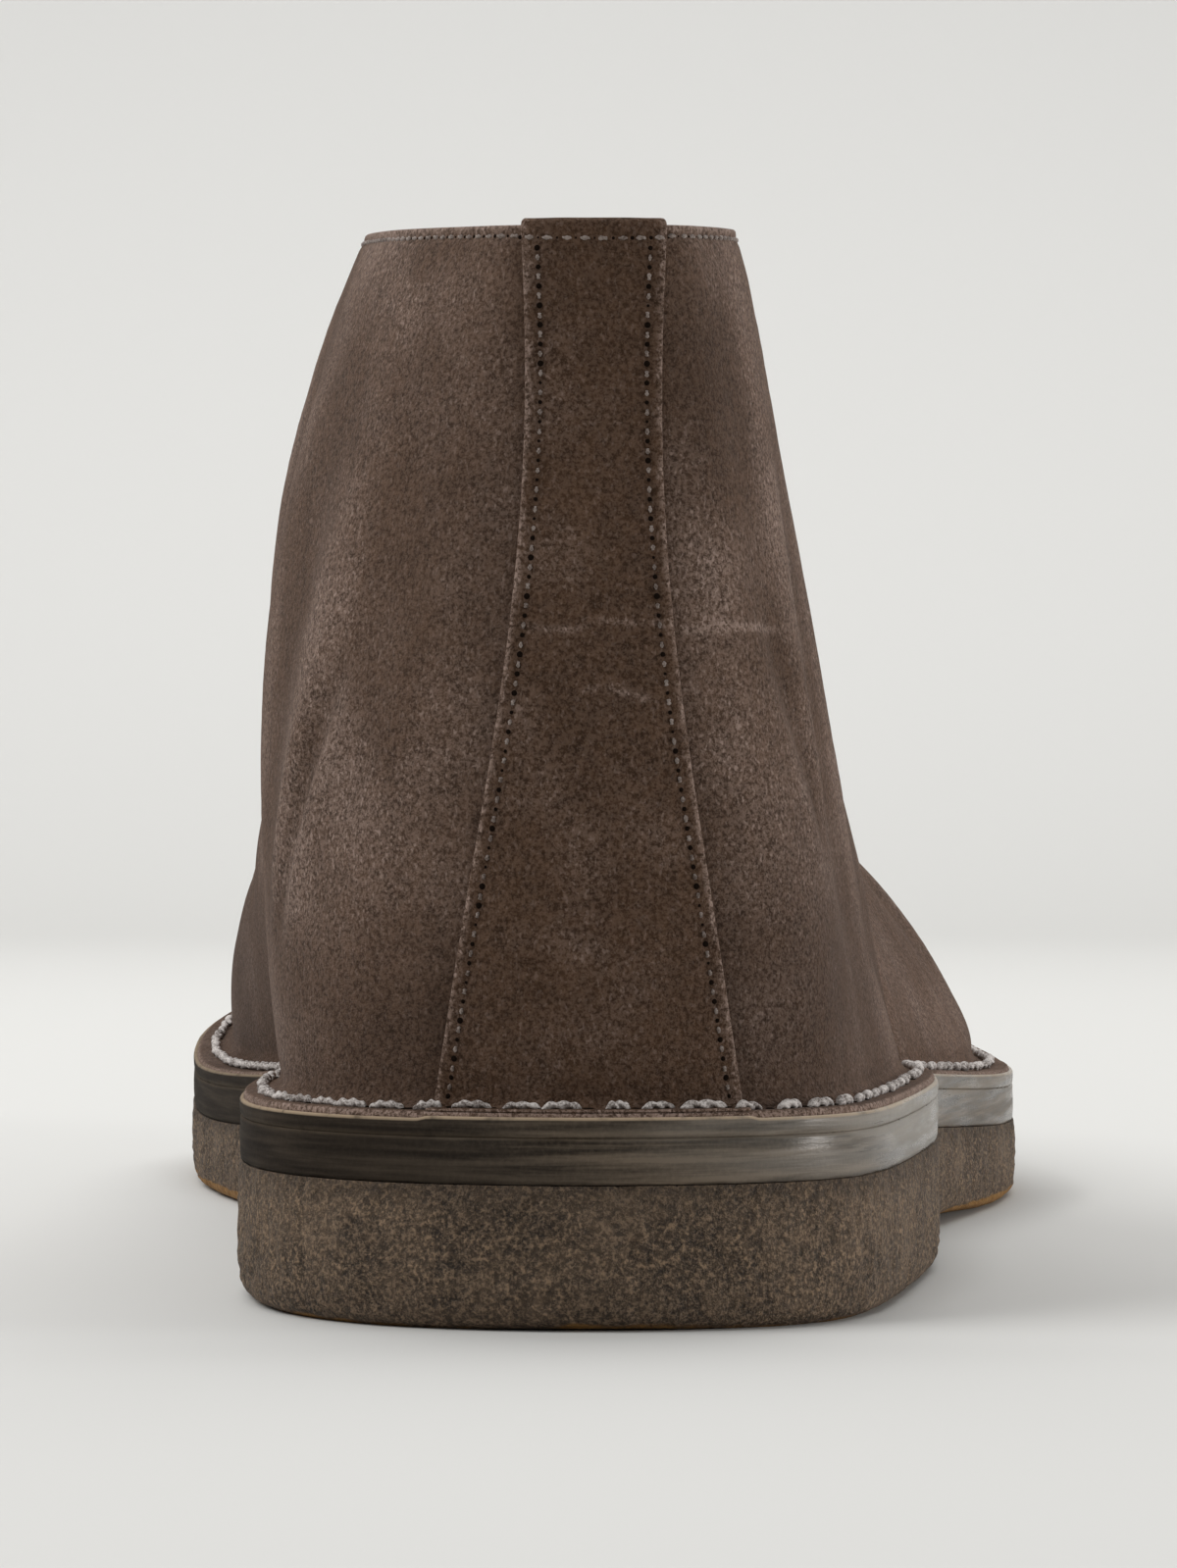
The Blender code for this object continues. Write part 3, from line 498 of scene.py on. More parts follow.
    def wall(self, turn: Array, way: Array) -> Array:
        """Outer face of the wall.

        Args:
            turn: Angles round the plan.
            way: 0 at the flange's bend to 1 at the top line.

        Returns:
            Points in the shared layout of both arrays.
        """
        turn, way = np.broadcast_arrays(turn, way)
        turn = np.mod(turn, FULL_TURN)
        out = self.outward(turn)
        foot = self.plan(turn, self.flange_width(self.foot_of(turn)) + self.flange_inset)
        foot = foot + (self.flange_top(foot[..., 1] + self.bend * out[..., 1]) + self.bend)[..., None] * UP
        low = foot + self.bulge(turn)[..., None] * out + self.rise(turn)[..., None] * UP
        top = self.top(turn)
        slope = self.front_height(top[..., 1] + 0.5) - self.front_height(top[..., 1] - 0.5)
        lean = self.lean(turn)
        on_ridge = smooth_step(self.foot_of(turn), self.collar_corner, self.throat_foot)
        high = slope * on_ridge * lean * out[..., 1] - self.drop(turn)
        high = top + lean[..., None] * out + high[..., None] * UP
        t = way[..., None]
        curve = foot * (1 - t) ** 3 + 3 * low * t * (1 - t) ** 2
        return curve + 3 * high * t * t * (1 - t) + top * t ** 3

    def skin(self, turn: Array, rise: Array) -> Array:
        """Outer face from the flange's edge to the top line.

        Args:
            turn: Angles round the plan.
            rise: Places up the upper, from -2 to 1.

        Returns:
            Points in the shared layout of both arrays.
        """
        turn, rise = np.broadcast_arrays(turn, rise)
        turn = np.mod(turn, FULL_TURN)
        out = self.outward(turn)
        centre = self.wall(turn, 0.0) + self.bend * out
        reach = 0.5 * math.pi * np.clip(rise + 1.0, 0.0, 1.0)[..., None]
        bend = centre - self.bend * (np.sin(reach) * out + np.cos(reach) * UP)
        edge = self.plan(turn, np.full_like(turn, self.flange_inset))
        edge = edge + self.flange_top(edge[..., 1])[..., None] * UP
        flat = edge + np.clip(rise + 2.0, 0.0, 1.0)[..., None] * (centre - self.bend * UP - edge)
        wall = self.wall(turn, np.clip(rise, 0.0, 1.0))
        low = np.where(rise[..., None] >= -1.0, bend, flat)
        return np.where(rise[..., None] >= 0.0, wall, low)

    def skin_normal(self, turn: Array, rise: Array) -> Array:
        """Outward unit normals of the skin."""
        step = 2e-3
        turn, rise = np.broadcast_arrays(turn, rise)
        rise = np.minimum(rise, 1.0 - 2.0 * step)
        up = self.skin(turn, rise + step) - self.skin(turn, np.maximum(rise - step, -2.0))
        round_ = self.skin(turn + step, rise) - self.skin(turn - step, rise)
        return unit(np.cross(round_, up))

    def rise_below_top(self, turn: Array, distance: float) -> Array:
        """Rise at a distance down the wall from the top line, for each angle."""
        ways = np.linspace(0.5, 1.0, 60)
        runs = [run_along(line) for line in self.wall(turn[:, None], ways[None, :])]
        return np.array([np.interp(run[-1] - distance, run, ways) for run in runs])

    def placed(self, points: Array) -> Array:
        """Millimetres from the sole's back and middle line to metres in the part's frame."""
        return (points - np.array([self.middle_across, 0.5 * self.length, 0.0])) * MM


LAST = Last()


@dataclass
class Throat:
    """Places over the throat, for the tongue, the eyelets and the lace.

    `down` runs along the facing's edge from the collar's corner, `across` over the foot from the
    middle line, and `lift` off the upper's outer face.
    """

    beyond: float = 40.0
    samples: int = 1201

    def __post_init__(self) -> None:
        """Measure the top line from the collar's corner to beyond the throat."""
        start, end = LAST.turn_of(LAST.collar_corner), LAST.turn_of(LAST.throat_foot + self.beyond)
        self.turn = np.linspace(float(start), float(end), self.samples)
        self.run = run_along(LAST.top(self.turn))
        self.length = float(np.interp(LAST.turn_of(LAST.throat_foot), self.turn, self.run))

    @staticmethod
    def bridge(outer: Array, inner: Array, shares: Array) -> Array:
        """Smooth line over the open throat.

        Args:
            outer: Points up the outer wall to its edge.
            inner: Points up the arch wall to its edge.
            shares: How far over, 0 at the outer edge and 1 at the arch edge.

        Returns:
            A point for each share.
        """
        gap = np.linalg.norm(outer[-1] - inner[-1])
        t = shares[:, None]
        start, end = unit(outer[-1] - outer[-2]) * gap, unit(inner[-2] - inner[-1]) * gap
        line = outer[-1] * (1 + 2 * t) * (1 - t) ** 2 + inner[-1] * t ** 2 * (3 - 2 * t)
        return line + start * t * (1 - t) ** 2 - end * t ** 2 * (1 - t)

    def row(self, down: float) -> tuple[Array, Array]:
        """Line over the foot at one place down the facing.

        Args:
            down: Distance down the facing's edge.

        Returns:
            The points, and how far each is from the middle, falling from the outer side.
        """
        turn = np.interp(down, self.run, self.turn)
        ways = np.linspace(0.35, 1.0, 40)
        outer, inner = LAST.wall(turn, ways), LAST.wall(FULL_TURN - turn, ways)
        gap = np.linalg.norm(outer[-1] - inner[-1])
        shares = np.linspace(0.0, 1.0, 9)[1:-1] if gap >= 0.5 else np.empty(0)
        line = np.concatenate([outer, self.bridge(outer, inner, shares), inner[::-1]])
        line = line[np.append(True, np.linalg.norm(np.diff(line, axis=0), axis=1) > 1e-6)]
        run = run_along(line)
        outer_end, inner_end = run_along(outer)[-1], run[-1] - run_along(inner)[-1]
        return line, 0.5 * (outer_end + inner_end) - run

    def edge(self, down: float) -> float:
        """Half the gap between the facings."""
        turn = float(np.interp(down, self.run, self.turn))
        ends = LAST.wall(np.array([turn, FULL_TURN - turn]), 1.0)
        return 0.5 * float(np.linalg.norm(ends[0] - ends[1]))

    def surface(self, down: float, across: float | Array) -> Array:
        """Points on the outer face."""
        line, run = self.row(down)
        return read_along(across, run[::-1], line[::-1])

    def axes(self, down: float, across: float | Array) -> tuple[Array, Array, Array, Array]:
        """Local frames on the outer face.

        Args:
            down: Distance down the facing's edge.
            across: Distances over the foot from the middle line.

        Returns:
            The points, and unit directions across, down and out.
        """
        middle = self.surface(down, across)
        side = unit(self.surface(down, across + 1.0) - self.surface(down, across - 1.0))
        along = unit(self.surface(down + 1.0, across) - self.surface(max(down - 1.0, 0.0), across))
        return middle, side, along, unit(np.cross(side, along))

    def place(self, down: float, across: float, lift: float) -> Array:
        """Point a lift off the outer face."""
        middle, _, _, out = self.axes(down, across)
        return middle + lift * out


THROAT = Throat()


# ---- meshes

def in_scene(name: str, data: object) -> Piece:
    """New object, linked into the scene."""
    thing = bpy.data.objects.new(name, data)
    bpy.context.scene.collection.objects.link(thing)
    return thing


@dataclass
class PieceMaker:
    """Collects grids of points in millimetres and turns them into one mesh piece.

    `marks` names the values kept at each point for the finish to read.
    """

    name: str
    marks: tuple[str, ...] = ()
    points: list[Array] = field(default_factory=list)
    faces: list[Array] = field(default_factory=list)
    values: dict[str, list[Array]] = field(default_factory=dict)
    count: int = 0

    def grid(self, points: Array, **values: Array) -> Array:
        """Add points.

        Args:
            points: Places in millimetres, any layout with three values last.
            values: Marks at the points; those left out are 0.

        Returns:
            The points' numbers in the same layout.
        """
        shape = points.shape[:-1]
        self.points.append(points.reshape(-1, 3))
        for mark in self.marks:
            value = np.broadcast_to(values.get(mark, 0.0), shape).reshape(-1)
            self.values.setdefault(mark, []).append(value)
        size = int(np.prod(shape))
        numbers = np.arange(self.count, self.count + size).reshape(shape)
        self.count += size
        return numbers

    def skin(self, numbers: Array, closed: bool = False) -> None:
        """Add a quad between neighbours of a grid of numbers.

        Args:
            numbers: Rows and columns of point numbers.
            closed: Whether the last column joins the first.
        """
        if closed:
            numbers = np.concatenate([numbers, numbers[:, :1]], axis=1)
        corners = [numbers[:-1, :-1], numbers[:-1, 1:], numbers[1:, 1:], numbers[1:, :-1]]
        self.faces.append(np.stack(corners, axis=-1).reshape(-1, 4))

    def rim(self, outer: Array, inner: Array, away: Array, numbers: Sequence[Array],
            bulge: float, **values: Array) -> None:
        """Join the edges of two faces by a rounded rim that closes on itself.

        Args:
            outer: Points of the outer face's edge.
            inner: Points of the inner face's edge, in the same order.
            away: Unit directions out of the sheet at the edge.
            numbers: The numbers of both edges' points.
            bulge: How round the rim is.
            values: Marks on the rim.
        """
        middle, half = 0.5 * (outer + inner), 0.5 * (outer - inner)
        size = np.linalg.norm(half, axis=-1, keepdims=True)
        rows = [numbers[0]]
        for angle in np.linspace(0.0, math.pi, 6)[1:-1]:
            reach = math.cos(angle) * half + bulge * math.sin(angle) * size * away
            rows.append(self.grid(middle + reach, **values))
        rows.append(numbers[1])
        self.skin(np.stack(rows), closed=True)

    @staticmethod
    def perimeter(grid: Array, folded: bool) -> Array:
        """Edge of a grid as one loop; a folded grid's last column lies back on itself."""
        if folded:
            return np.concatenate([grid[0], grid[-1, -2::-1], grid[-2:0:-1, 0]])
        return np.concatenate([grid[0, :-1], grid[:-1, -1], grid[-1, :0:-1], grid[:0:-1, 0]])

    def sheet(self, outer: Array, inner: Array, bulge: float, folded: bool = False,
              edge: dict[str, float] | None = None, **values: Array) -> None:
        """Add a closed sheet with rounded edges.

        Args:
            outer: Grid of the outer face.
            inner: Grid of the inner face.
            bulge: How round the edges are, 1 for half circles.
            folded: Whether the last column lies back on itself, as round a toe.
            edge: Marks on the edges.
            values: Marks on both faces.
        """
        away = np.zeros_like(outer)
        away[0] += unit(outer[0] - outer[1])
        away[-1] += unit(outer[-1] - outer[-2])
        away[:, 0] += unit(outer[:, 0] - outer[:, 1])
        if not folded:
            away[:, -1] += unit(outer[:, -1] - outer[:, -2])
        faces = self.grid(outer, **values), self.grid(inner, **values)
        for numbers in faces:
            self.skin(numbers)
        loops = [self.perimeter(grid, folded) for grid in (outer, inner, unit(away), *faces)]
        self.rim(*loops[:3], loops[3:], bulge, **(edge or {}))

    def make(self, finish: Finish, slot: str, weld: float = 0.001) -> Piece:
        """Make the mesh piece, riding on the boot's one body.

        Args:
            finish: Its material.
            slot: The record's material slot; not used.
            weld: Points closer than this many millimetres become one; 0 joins none.

        Returns:
            The new object.
        """
        mesh = bpy.data.meshes.new(self.name)
        points = LAST.placed(np.concatenate(self.points))
        mesh.from_pydata(points.tolist(), [], np.concatenate(self.faces).tolist())
        for mark, values in self.values.items():
            attribute = mesh.attributes.new(mark, "FLOAT", "POINT")
            attribute.data.foreach_set("value", np.concatenate(values).astype(np.float32))
        work = bmesh.new()
        work.from_mesh(mesh)
        if weld > 0.0:
            bmesh.ops.remove_doubles(work, verts=work.verts, dist=weld * MM)
        bmesh.ops.recalc_face_normals(work, faces=work.faces)
        work.to_mesh(mesh)
        work.free()
        mesh.shade_smooth()
        mesh.materials.append(finish)
        piece = in_scene(self.name, mesh)
        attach(piece, "root")
        return piece


# ---- finishes

@dataclass
class Bench:
    """Short ways to lay out the nodes of one finish."""

    name: str

    def __post_init__(self) -> None:
        """Start a material with its shader and the object's own coordinates."""
        self.material = bpy.data.materials.new(self.name)
        self.material.use_nodes = True
        self.nodes = self.material.node_tree.nodes
        self.shader = self.nodes["Principled BSDF"]
        self.place = self.nodes.new("ShaderNodeTexCoord").outputs["Object"]

    def put(self, socket: Socket, value: object) -> None:
        """Link a socket to another, or set its value."""
        if isinstance(value, Socket):
            self.material.node_tree.links.new(value, socket)
        else:
            socket.default_value = value

    def fixed(self, **values: object) -> None:
        """Set values on the shader's own sockets, with _ for a space in their names."""
        for name, value in values.items():
            self.shader.inputs[name.replace("_", " ")].default_value = value

    def stretched(self, x: float, y: float, z: float) -> Socket:
        """Coordinates scaled along each axis."""
        node = self.nodes.new("ShaderNodeVectorMath")
        node.operation = "MULTIPLY"
        self.put(node.inputs[0], self.place)
        self.put(node.inputs[1], (x, y, z))
        return node.outputs[0]

    def noise(self, size: float, detail: float = 3.0, rough: float = 0.6,
              where: Socket | None = None) -> Socket:
        """Soft noise.

        Args:
            size: Size of its largest grains in millimetres.
            detail: Number of finer layers.
            rough: Strength of the finer layers.
            where: Coordinates, if not the object's own.

        Returns:
            A value socket, about 0.5 on average.
        """
        node = self.nodes.new("ShaderNodeTexNoise")
        self.put(node.inputs["Vector"], where or self.place)
        self.put(node.inputs["Scale"], 1.0 / (size * MM))
        self.put(node.inputs["Detail"], detail)
        self.put(node.inputs["Roughness"], rough)
        return node.outputs["Fac"]

    def cells(self, size: float) -> Socket:
        """Distance to the nearest of scattered points, for granules and pits."""
        node = self.nodes.new("ShaderNodeTexVoronoi")
        self.put(node.inputs["Vector"], self.place)
        self.put(node.inputs["Scale"], 1.0 / (size * MM))
        return node.outputs["Distance"]

    def mark(self, name: str) -> Socket:
        """Value kept at the mesh's points."""
        node = self.nodes.new("ShaderNodeAttribute")
        node.attribute_name = name
        return node.outputs["Fac"]

    def math(self, operation: str, first: object, second: object = 0.0) -> Socket:
        """One operation on two numbers or sockets."""
        node = self.nodes.new("ShaderNodeMath")
        node.operation = operation
        self.put(node.inputs[0], first)
        self.put(node.inputs[1], second)
        return node.outputs[0]

    def weighted(self, *parts: tuple[Socket, float]) -> Socket:
        """Sum of values, each times its weight."""
        total = None
        for value, weight in parts:
            part = self.math("MULTIPLY", value, weight)
            total = part if total is None else self.math("ADD", total, part)
        return total

    def ramp(self, value: Socket, start: float, end: float,
             low: float = 0.0, high: float = 1.0) -> Socket:
        """Smooth step of a value.

        Args:
            value: What is read.
            start: Where the step starts.
            end: Where it ends.
            low: Result before the start.
            high: Result after the end.

        Returns:
            A value socket.
        """
        node = self.nodes.new("ShaderNodeMapRange")
        node.interpolation_type = "SMOOTHSTEP"
        for socket, given in zip(node.inputs, (value, start, end, low, high)):
            self.put(socket, given)
        return node.outputs[0]

    def mix(self, share: object, first: object, second: object) -> Socket:
        """Mix two colours.

        Args:
            share: How much of the second.
            first: Colour or socket.
            second: Colour or socket.

        Returns:
            A colour socket.
        """
        node = self.nodes.new("ShaderNodeMix")
        node.data_type = "RGBA"
        self.put(node.inputs[0], share)
        for socket, colour in zip(node.inputs[6:8], (first, second)):
            self.put(socket, (*colour, 1.0) if isinstance(colour, tuple) else colour)
        return node.outputs[2]

    def relief(self, *layers: tuple[Socket, float]) -> Socket:
        """Small relief.

        Args:
            layers: Value and depth in millimetres of each layer, the lowest first.

        Returns:
            A normal socket.
        """
        normal = None
        for height, depth in layers:
            node = self.nodes.new("ShaderNodeBump")
            self.put(node.inputs["Height"], height)
            self.put(node.inputs["Distance"], depth * MM)
            if normal is not None:
                self.put(node.inputs["Normal"], normal)
            normal = node.outputs["Normal"]
        return normal

    def done(self, colour: object, roughness: object, normal: object = None) -> Finish:
        """Join colour, roughness and relief to the shader and hand over the material."""
        self.put(self.shader.inputs["Base Color"], (*colour, 1.0) if isinstance(colour, tuple) else colour)
        self.put(self.shader.inputs["Roughness"], roughness)
        if normal is not None:
            self.put(self.shader.inputs["Normal"], normal)
        return self.material


@dataclass(frozen=True)
class Suede:
    """Napped leather. It reads a pale mark, for worn nap and some painted highlights, and `shade`, for
    painted shade in creases, seams and beside the strap and for other darker zones.
    """

    name: str
    dark: Colour = (0.028, 0.0160, 0.0100)
    light: Colour = (0.128, 0.075, 0.048)
    # colour of rubbed nap, also laid for painted highlights
    rubbed: Colour = (0.310, 0.226, 0.188)
    shaded: Colour = (0.022, 0.0125, 0.0080)
    shade_depth: float = 0.62
    sheen: float = 0.05
    nap: float = 0.26

    def make(self) -> Finish:
        """Lay out the nodes."""
        bench = Bench(self.name)
        fibre = bench.noise(0.46, 2.0, 0.85)
        tuft = bench.noise(1.25, 3.0, 0.65)
        mottle = bench.noise(4.5, 4.0, 0.6)
        cloud = bench.noise(22.0, 3.0, 0.55)
        streak = bench.noise(3.4, 3.0, 0.55, bench.stretched(1.0, 1.0, 0.16))
        coarse = ((tuft, 0.28), (mottle, 0.10), (cloud, 0.10), (streak, 0.07))
        tone = bench.weighted((bench.ramp(fibre, 0.36, 0.60), 0.40),
                              *((bench.ramp(layer, 0.37, 0.64), weight) for layer, weight in coarse))
        colour = bench.mix(tone, self.dark, self.light)
        hairs = bench.ramp(bench.noise(0.42, 1.0, 0.5, bench.stretched(1.0, 1.0, 0.7)), 0.58, 0.72)
        # the pale mark lays worn nap and some painted highlights
        worn = bench.math("ADD", bench.mark("rub"), 0.20)
        worn = bench.math("MULTIPLY", worn, bench.math("ADD", bench.math("MULTIPLY", hairs, 0.95),
                                                       bench.ramp(fibre, 0.35, 0.65, 0.10, 0.8)))
        colour = bench.mix(worn, colour, self.rubbed)
        # painted shade, and the other darker zones, where the `shade` mark is set
        dim = bench.math("MULTIPLY", bench.mark("shade"), self.shade_depth)
        colour = bench.mix(dim, colour, self.shaded)
        relief = bench.relief((mottle, 0.10), (tuft, 0.14), (fibre, self.nap))
        bench.fixed(Sheen_Weight=self.sheen, Sheen_Roughness=0.45, Sheen_Tint=(1.0, 0.93, 0.92, 1.0),
                    Specular_IOR_Level=0.06)
        return bench.done(colour, bench.ramp(mottle, 0.3, 0.7, 0.86, 0.98), relief)


@dataclass(frozen=True)
class Crepe:
    """Granular crepe rubber, inked dark on the sides. `up` runs from the underside to its top."""

    name: str = "crepe"
    dark: Colour = (0.021, 0.0138, 0.0088)
    light: Colour = (0.280, 0.194, 0.128)
    speck: Colour = (0.330, 0.222, 0.135)
    pit: Colour = (0.010, 0.007, 0.005)
    amber: Colour = (0.330, 0.170, 0.045)
    amber_dark: Colour = (0.190, 0.098, 0.030)

    def make(self) -> Finish:
        """Lay out the nodes."""
        bench = Bench(self.name)
        fine = bench.noise(0.50, 2.0, 0.85)
        grains = bench.noise(1.20, 4.0, 0.75)
        patch = bench.noise(9.0, 3.0, 0.55)
        pits = bench.cells(0.95)
        tone = bench.weighted((bench.ramp(fine, 0.40, 0.66), 0.50), (bench.ramp(grains, 0.36, 0.68), 0.24),
                              (bench.ramp(patch, 0.36, 0.68), 0.16))
        colour = bench.mix(tone, self.dark, self.light)
        specks = bench.ramp(bench.noise(0.50, 1.0, 0.5), 0.58, 0.70)
        specks = bench.math("MULTIPLY", specks, bench.ramp(bench.noise(5.0), 0.40, 0.60, 0.06, 0.55))
        colour = bench.mix(specks, colour, self.speck)
        colour = bench.mix(bench.ramp(pits, 0.12, 0.02, 0.0, 0.6), colour, self.pit)
        colour = bench.mix(bench.ramp(bench.mark("up"), 0.74, 1.0, 0.0, 0.40), colour, self.dark)
        wave = bench.math("MULTIPLY", bench.ramp(patch, 0.3, 0.7), 0.050)
        natural = bench.ramp(bench.math("ADD", bench.mark("up"), wave), 0.050, 0.020)
        skin = bench.mix(bench.ramp(grains, 0.35, 0.65), self.amber, self.amber_dark)
        colour = bench.mix(natural, colour, skin)
        relief = bench.relief((grains, 0.55), (fine, 0.28), (bench.ramp(pits, 0.0, 0.25), 0.12))
        bench.fixed(Specular_IOR_Level=0.30)
        return bench.done(colour, bench.ramp(grains, 0.3, 0.7, 0.66, 0.9), relief)


@dataclass(frozen=True)
class BurnishedEdge:
    """Waxed leather edge. It reads `raw`, where it has worn pale, and a side-light mark, with a painted
    shadow up the arch side and a painted grey glare on the outer side.
    """

    name: str = "burnished_edge"
    dark: Colour = (0.010, 0.0070, 0.0048)
    light: Colour = (0.150, 0.116, 0.084)
    scuffed: Colour = (0.290, 0.268, 0.238)
    raw: Colour = (0.480, 0.365, 0.250)

    def make(self) -> Finish:
        """Lay out the nodes."""
        bench = Bench(self.name)
        ply = bench.noise(0.9, 3.0, 0.6, bench.stretched(0.045, 0.045, 1.0))
        smear = bench.noise(1.5, 3.0, 0.6, bench.stretched(0.08, 0.08, 1.0))
        dust = bench.noise(0.5, 3.0, 0.7)
        tone = bench.weighted((bench.ramp(ply, 0.38, 0.72), 0.50), (bench.ramp(smear, 0.30, 0.80), 0.40),
                              (bench.ramp(dust, 0.35, 0.75), 0.16))
        # the side-light mark paints a neighbouring boot's shadow up the arch side and a pale grey glare on
        # the outer side; it also sets the gloss
        scuff = bench.mark("scuff")
        tone = bench.math("MULTIPLY", tone, bench.ramp(scuff, 0.0, 0.5, 0.26, 1.35))
        colour = bench.mix(tone, self.dark, self.light)
        glare_share = bench.math("MULTIPLY", bench.ramp(scuff, 0.35, 1.0),
                            bench.ramp(smear, 0.30, 0.70, 0.30, 0.80))
        colour = bench.mix(glare_share, colour, self.scuffed)
        worn = bench.math("MULTIPLY", bench.mark("raw"), bench.ramp(bench.noise(3.0), 0.30, 0.50, 0.45, 1.0))
        colour = bench.mix(worn, colour, self.raw)
        relief = bench.relief((smear, 0.10), (ply, 0.10), (dust, 0.03))
        bench.fixed(Specular_IOR_Level=0.16, Specular_Tint=(1.0, 0.93, 0.86, 1.0))
        gloss = bench.math("MAXIMUM", bench.ramp(smear, 0.35, 0.70, 0.22, 0.50),
                           bench.ramp(scuff, 0.0, 0.45, 0.95, 0.25))
        return bench.done(colour, gloss, relief)


@dataclass(frozen=True)
class SmoothLeather:
    """Smooth lining or sock leather with a fine grain."""

    name: str
    deep: Colour
    pale: Colour
    roughness: float = 0.55
    rubbed: Colour = (0.090, 0.052, 0.028)

    def make(self) -> Finish:
        """Lay out the nodes."""
        bench = Bench(self.name)
        pores = bench.cells(0.55)
        cloud = bench.noise(14.0, 4.0, 0.6)
        fine = bench.noise(0.6, 3.0, 0.65)
        tone = bench.weighted((cloud, 0.6), (fine, 0.4))
        colour = bench.mix(bench.ramp(tone, 0.3, 0.7), self.deep, self.pale)
        colour = bench.mix(bench.math("MULTIPLY", bench.mark("rub"), 0.5), colour, self.rubbed)
        relief = bench.relief((cloud, 0.15), (pores, 0.05))
        bench.fixed(Specular_IOR_Level=0.4)
        low, high = self.roughness - 0.08, self.roughness + 0.12
        return bench.done(colour, bench.ramp(fine, 0.3, 0.7, low, high), relief)


@dataclass(frozen=True)
class Thread:
    """Twisted sewing thread."""

    name: str
    deep: Colour
    pale: Colour

    def make(self) -> Finish:
        """Lay out the nodes."""
        bench = Bench(self.name)
        wisps = bench.noise(0.28, 3.0, 0.7)
        change = bench.noise(5.0, 3.0, 0.6)
        tone = bench.weighted((wisps, 0.55), (change, 0.45))
        colour = bench.mix(bench.ramp(tone, 0.38, 0.60), self.deep, self.pale)
        bench.fixed(Sheen_Weight=0.2, Sheen_Roughness=0.5, Specular_IOR_Level=0.3)
        return bench.done(colour, 0.75, bench.relief((wisps, 0.05)))


@dataclass(frozen=True)
class Enamel:
    """Dark enamelled metal with rubbed edges."""

    name: str = "dark_enamel"
    base: Colour = (0.050, 0.036, 0.028)
    worn: Colour = (0.180, 0.140, 0.110)

    def make(self) -> Finish:
        """Lay out the nodes."""
        bench = Bench(self.name)
        scuff = bench.noise(0.8, 4.0, 0.7)
        colour = bench.mix(bench.ramp(scuff, 0.55, 0.75, 0.0, 0.6), self.base, self.worn)
        bench.fixed(Metallic=0.85, Specular_IOR_Level=0.5)
        return bench.done(colour, bench.ramp(scuff, 0.3, 0.7, 0.28, 0.48), bench.relief((scuff, 0.02)))


@dataclass(frozen=True)
class Shadow:
    """Painted shade of a needle hole, as a near-black disc."""

    name: str = "needle_hole"
    dark: Colour = (0.006, 0.004, 0.003)
    pale: Colour = (0.012, 0.008, 0.006)

    def make(self) -> Finish:
        """Lay out the nodes."""
        bench = Bench(self.name)
        colour = bench.mix(bench.noise(0.4), self.dark, self.pale)
        bench.fixed(Specular_IOR_Level=0.0)
        return bench.done(colour, 1.0)


@dataclass(frozen=True)
class Paper:
    """Pale studio paper, a little darker where it lies flat."""

    name: str = "studio_paper"
    flat: Colour = (0.628, 0.624, 0.606)
    upright: Colour = (0.908, 0.903, 0.882)

    def make(self) -> Finish:
        """Lay out the nodes."""
        bench = Bench(self.name)
        split = bench.nodes.new("ShaderNodeSeparateXYZ")
        bench.put(split.inputs[0], bench.place)
        colour = bench.mix(bench.ramp(split.outputs["Y"], 1.1, 2.2), self.flat, self.upright)
        bench.fixed(Specular_IOR_Level=0.0)
        return bench.done(colour, 0.95)


class Finishes:
    """All materials of the boot, made once."""

    def __init__(self) -> None:
        """Make each material."""
        self.suede = Suede("suede").make()
        # darker, browner suede for the strap: partly its own tone, partly painted shade
        self.strap_suede = Suede("strap_suede", dark=(0.025, 0.0130, 0.0070),
                                 light=(0.102, 0.0552, 0.0305), sheen=0.01).make()
        self.crepe = Crepe().make()
        self.edge = BurnishedEdge().make()
        self.lining = SmoothLeather("tan_lining", (0.300, 0.175, 0.092), (0.480, 0.310, 0.185)).make()
        self.sock = SmoothLeather("tan_sock", (0.330, 0.200, 0.110), (0.520, 0.350, 0.210), 0.48).make()
        self.sole_thread = Thread("sole_thread", (0.120, 0.092, 0.078), (0.700, 0.650, 0.618)).make()
        self.seam_thread = Thread("seam_thread", (0.090, 0.062, 0.048), (0.270, 0.222, 0.195)).make()
        self.hole = Shadow().make()
        self.enamel = Enamel().make()
        self.cord = Thread("waxed_cord", (0.024, 0.0155, 0.0115), (0.074, 0.050, 0.038)).make()


# ---- folds, seams and stitches

@dataclass(frozen=True)
class Crease:
    """Soft trough with raised shoulders, from one place on the upper to another."""

    side: Side
    foot_low: float
    rise_low: float
    foot_high: float
    rise_high: float
    width: float
    depth: float
    samples: int = 24

    def line(self) -> Array:
        """Points down the middle of the trough."""
        share = np.linspace(0.0, 1.0, self.samples)
        turn = LAST.turn_of(self.foot_low + (self.foot_high - self.foot_low) * share)
        turn = turn if self.side is Side.OUTER else FULL_TURN - turn
        return LAST.skin(turn, self.rise_low + (self.rise_high - self.rise_low) * share)

    def press(self, points: Array) -> tuple[Array, Array]:
        """Effect on points of the upper.

        Args:
            points: Places in millimetres.

        Returns:
            How far each moves out, and how deep in the trough it lies from 0 to 1.
        """
        apart = np.linalg.norm(points[..., None, :] - self.line(), axis=-1)
        taper = np.sin(math.pi * (apart.argmin(axis=-1) + 0.5) / self.samples) ** 0.7
        near = apart.min(axis=-1) / self.width
        trough = taper * np.exp(-near ** 2)
        shoulder = taper * np.exp(-((near - 1.9) / 1.1) ** 2)
        return 1.3 * self.depth * (0.45 * shoulder - trough), trough


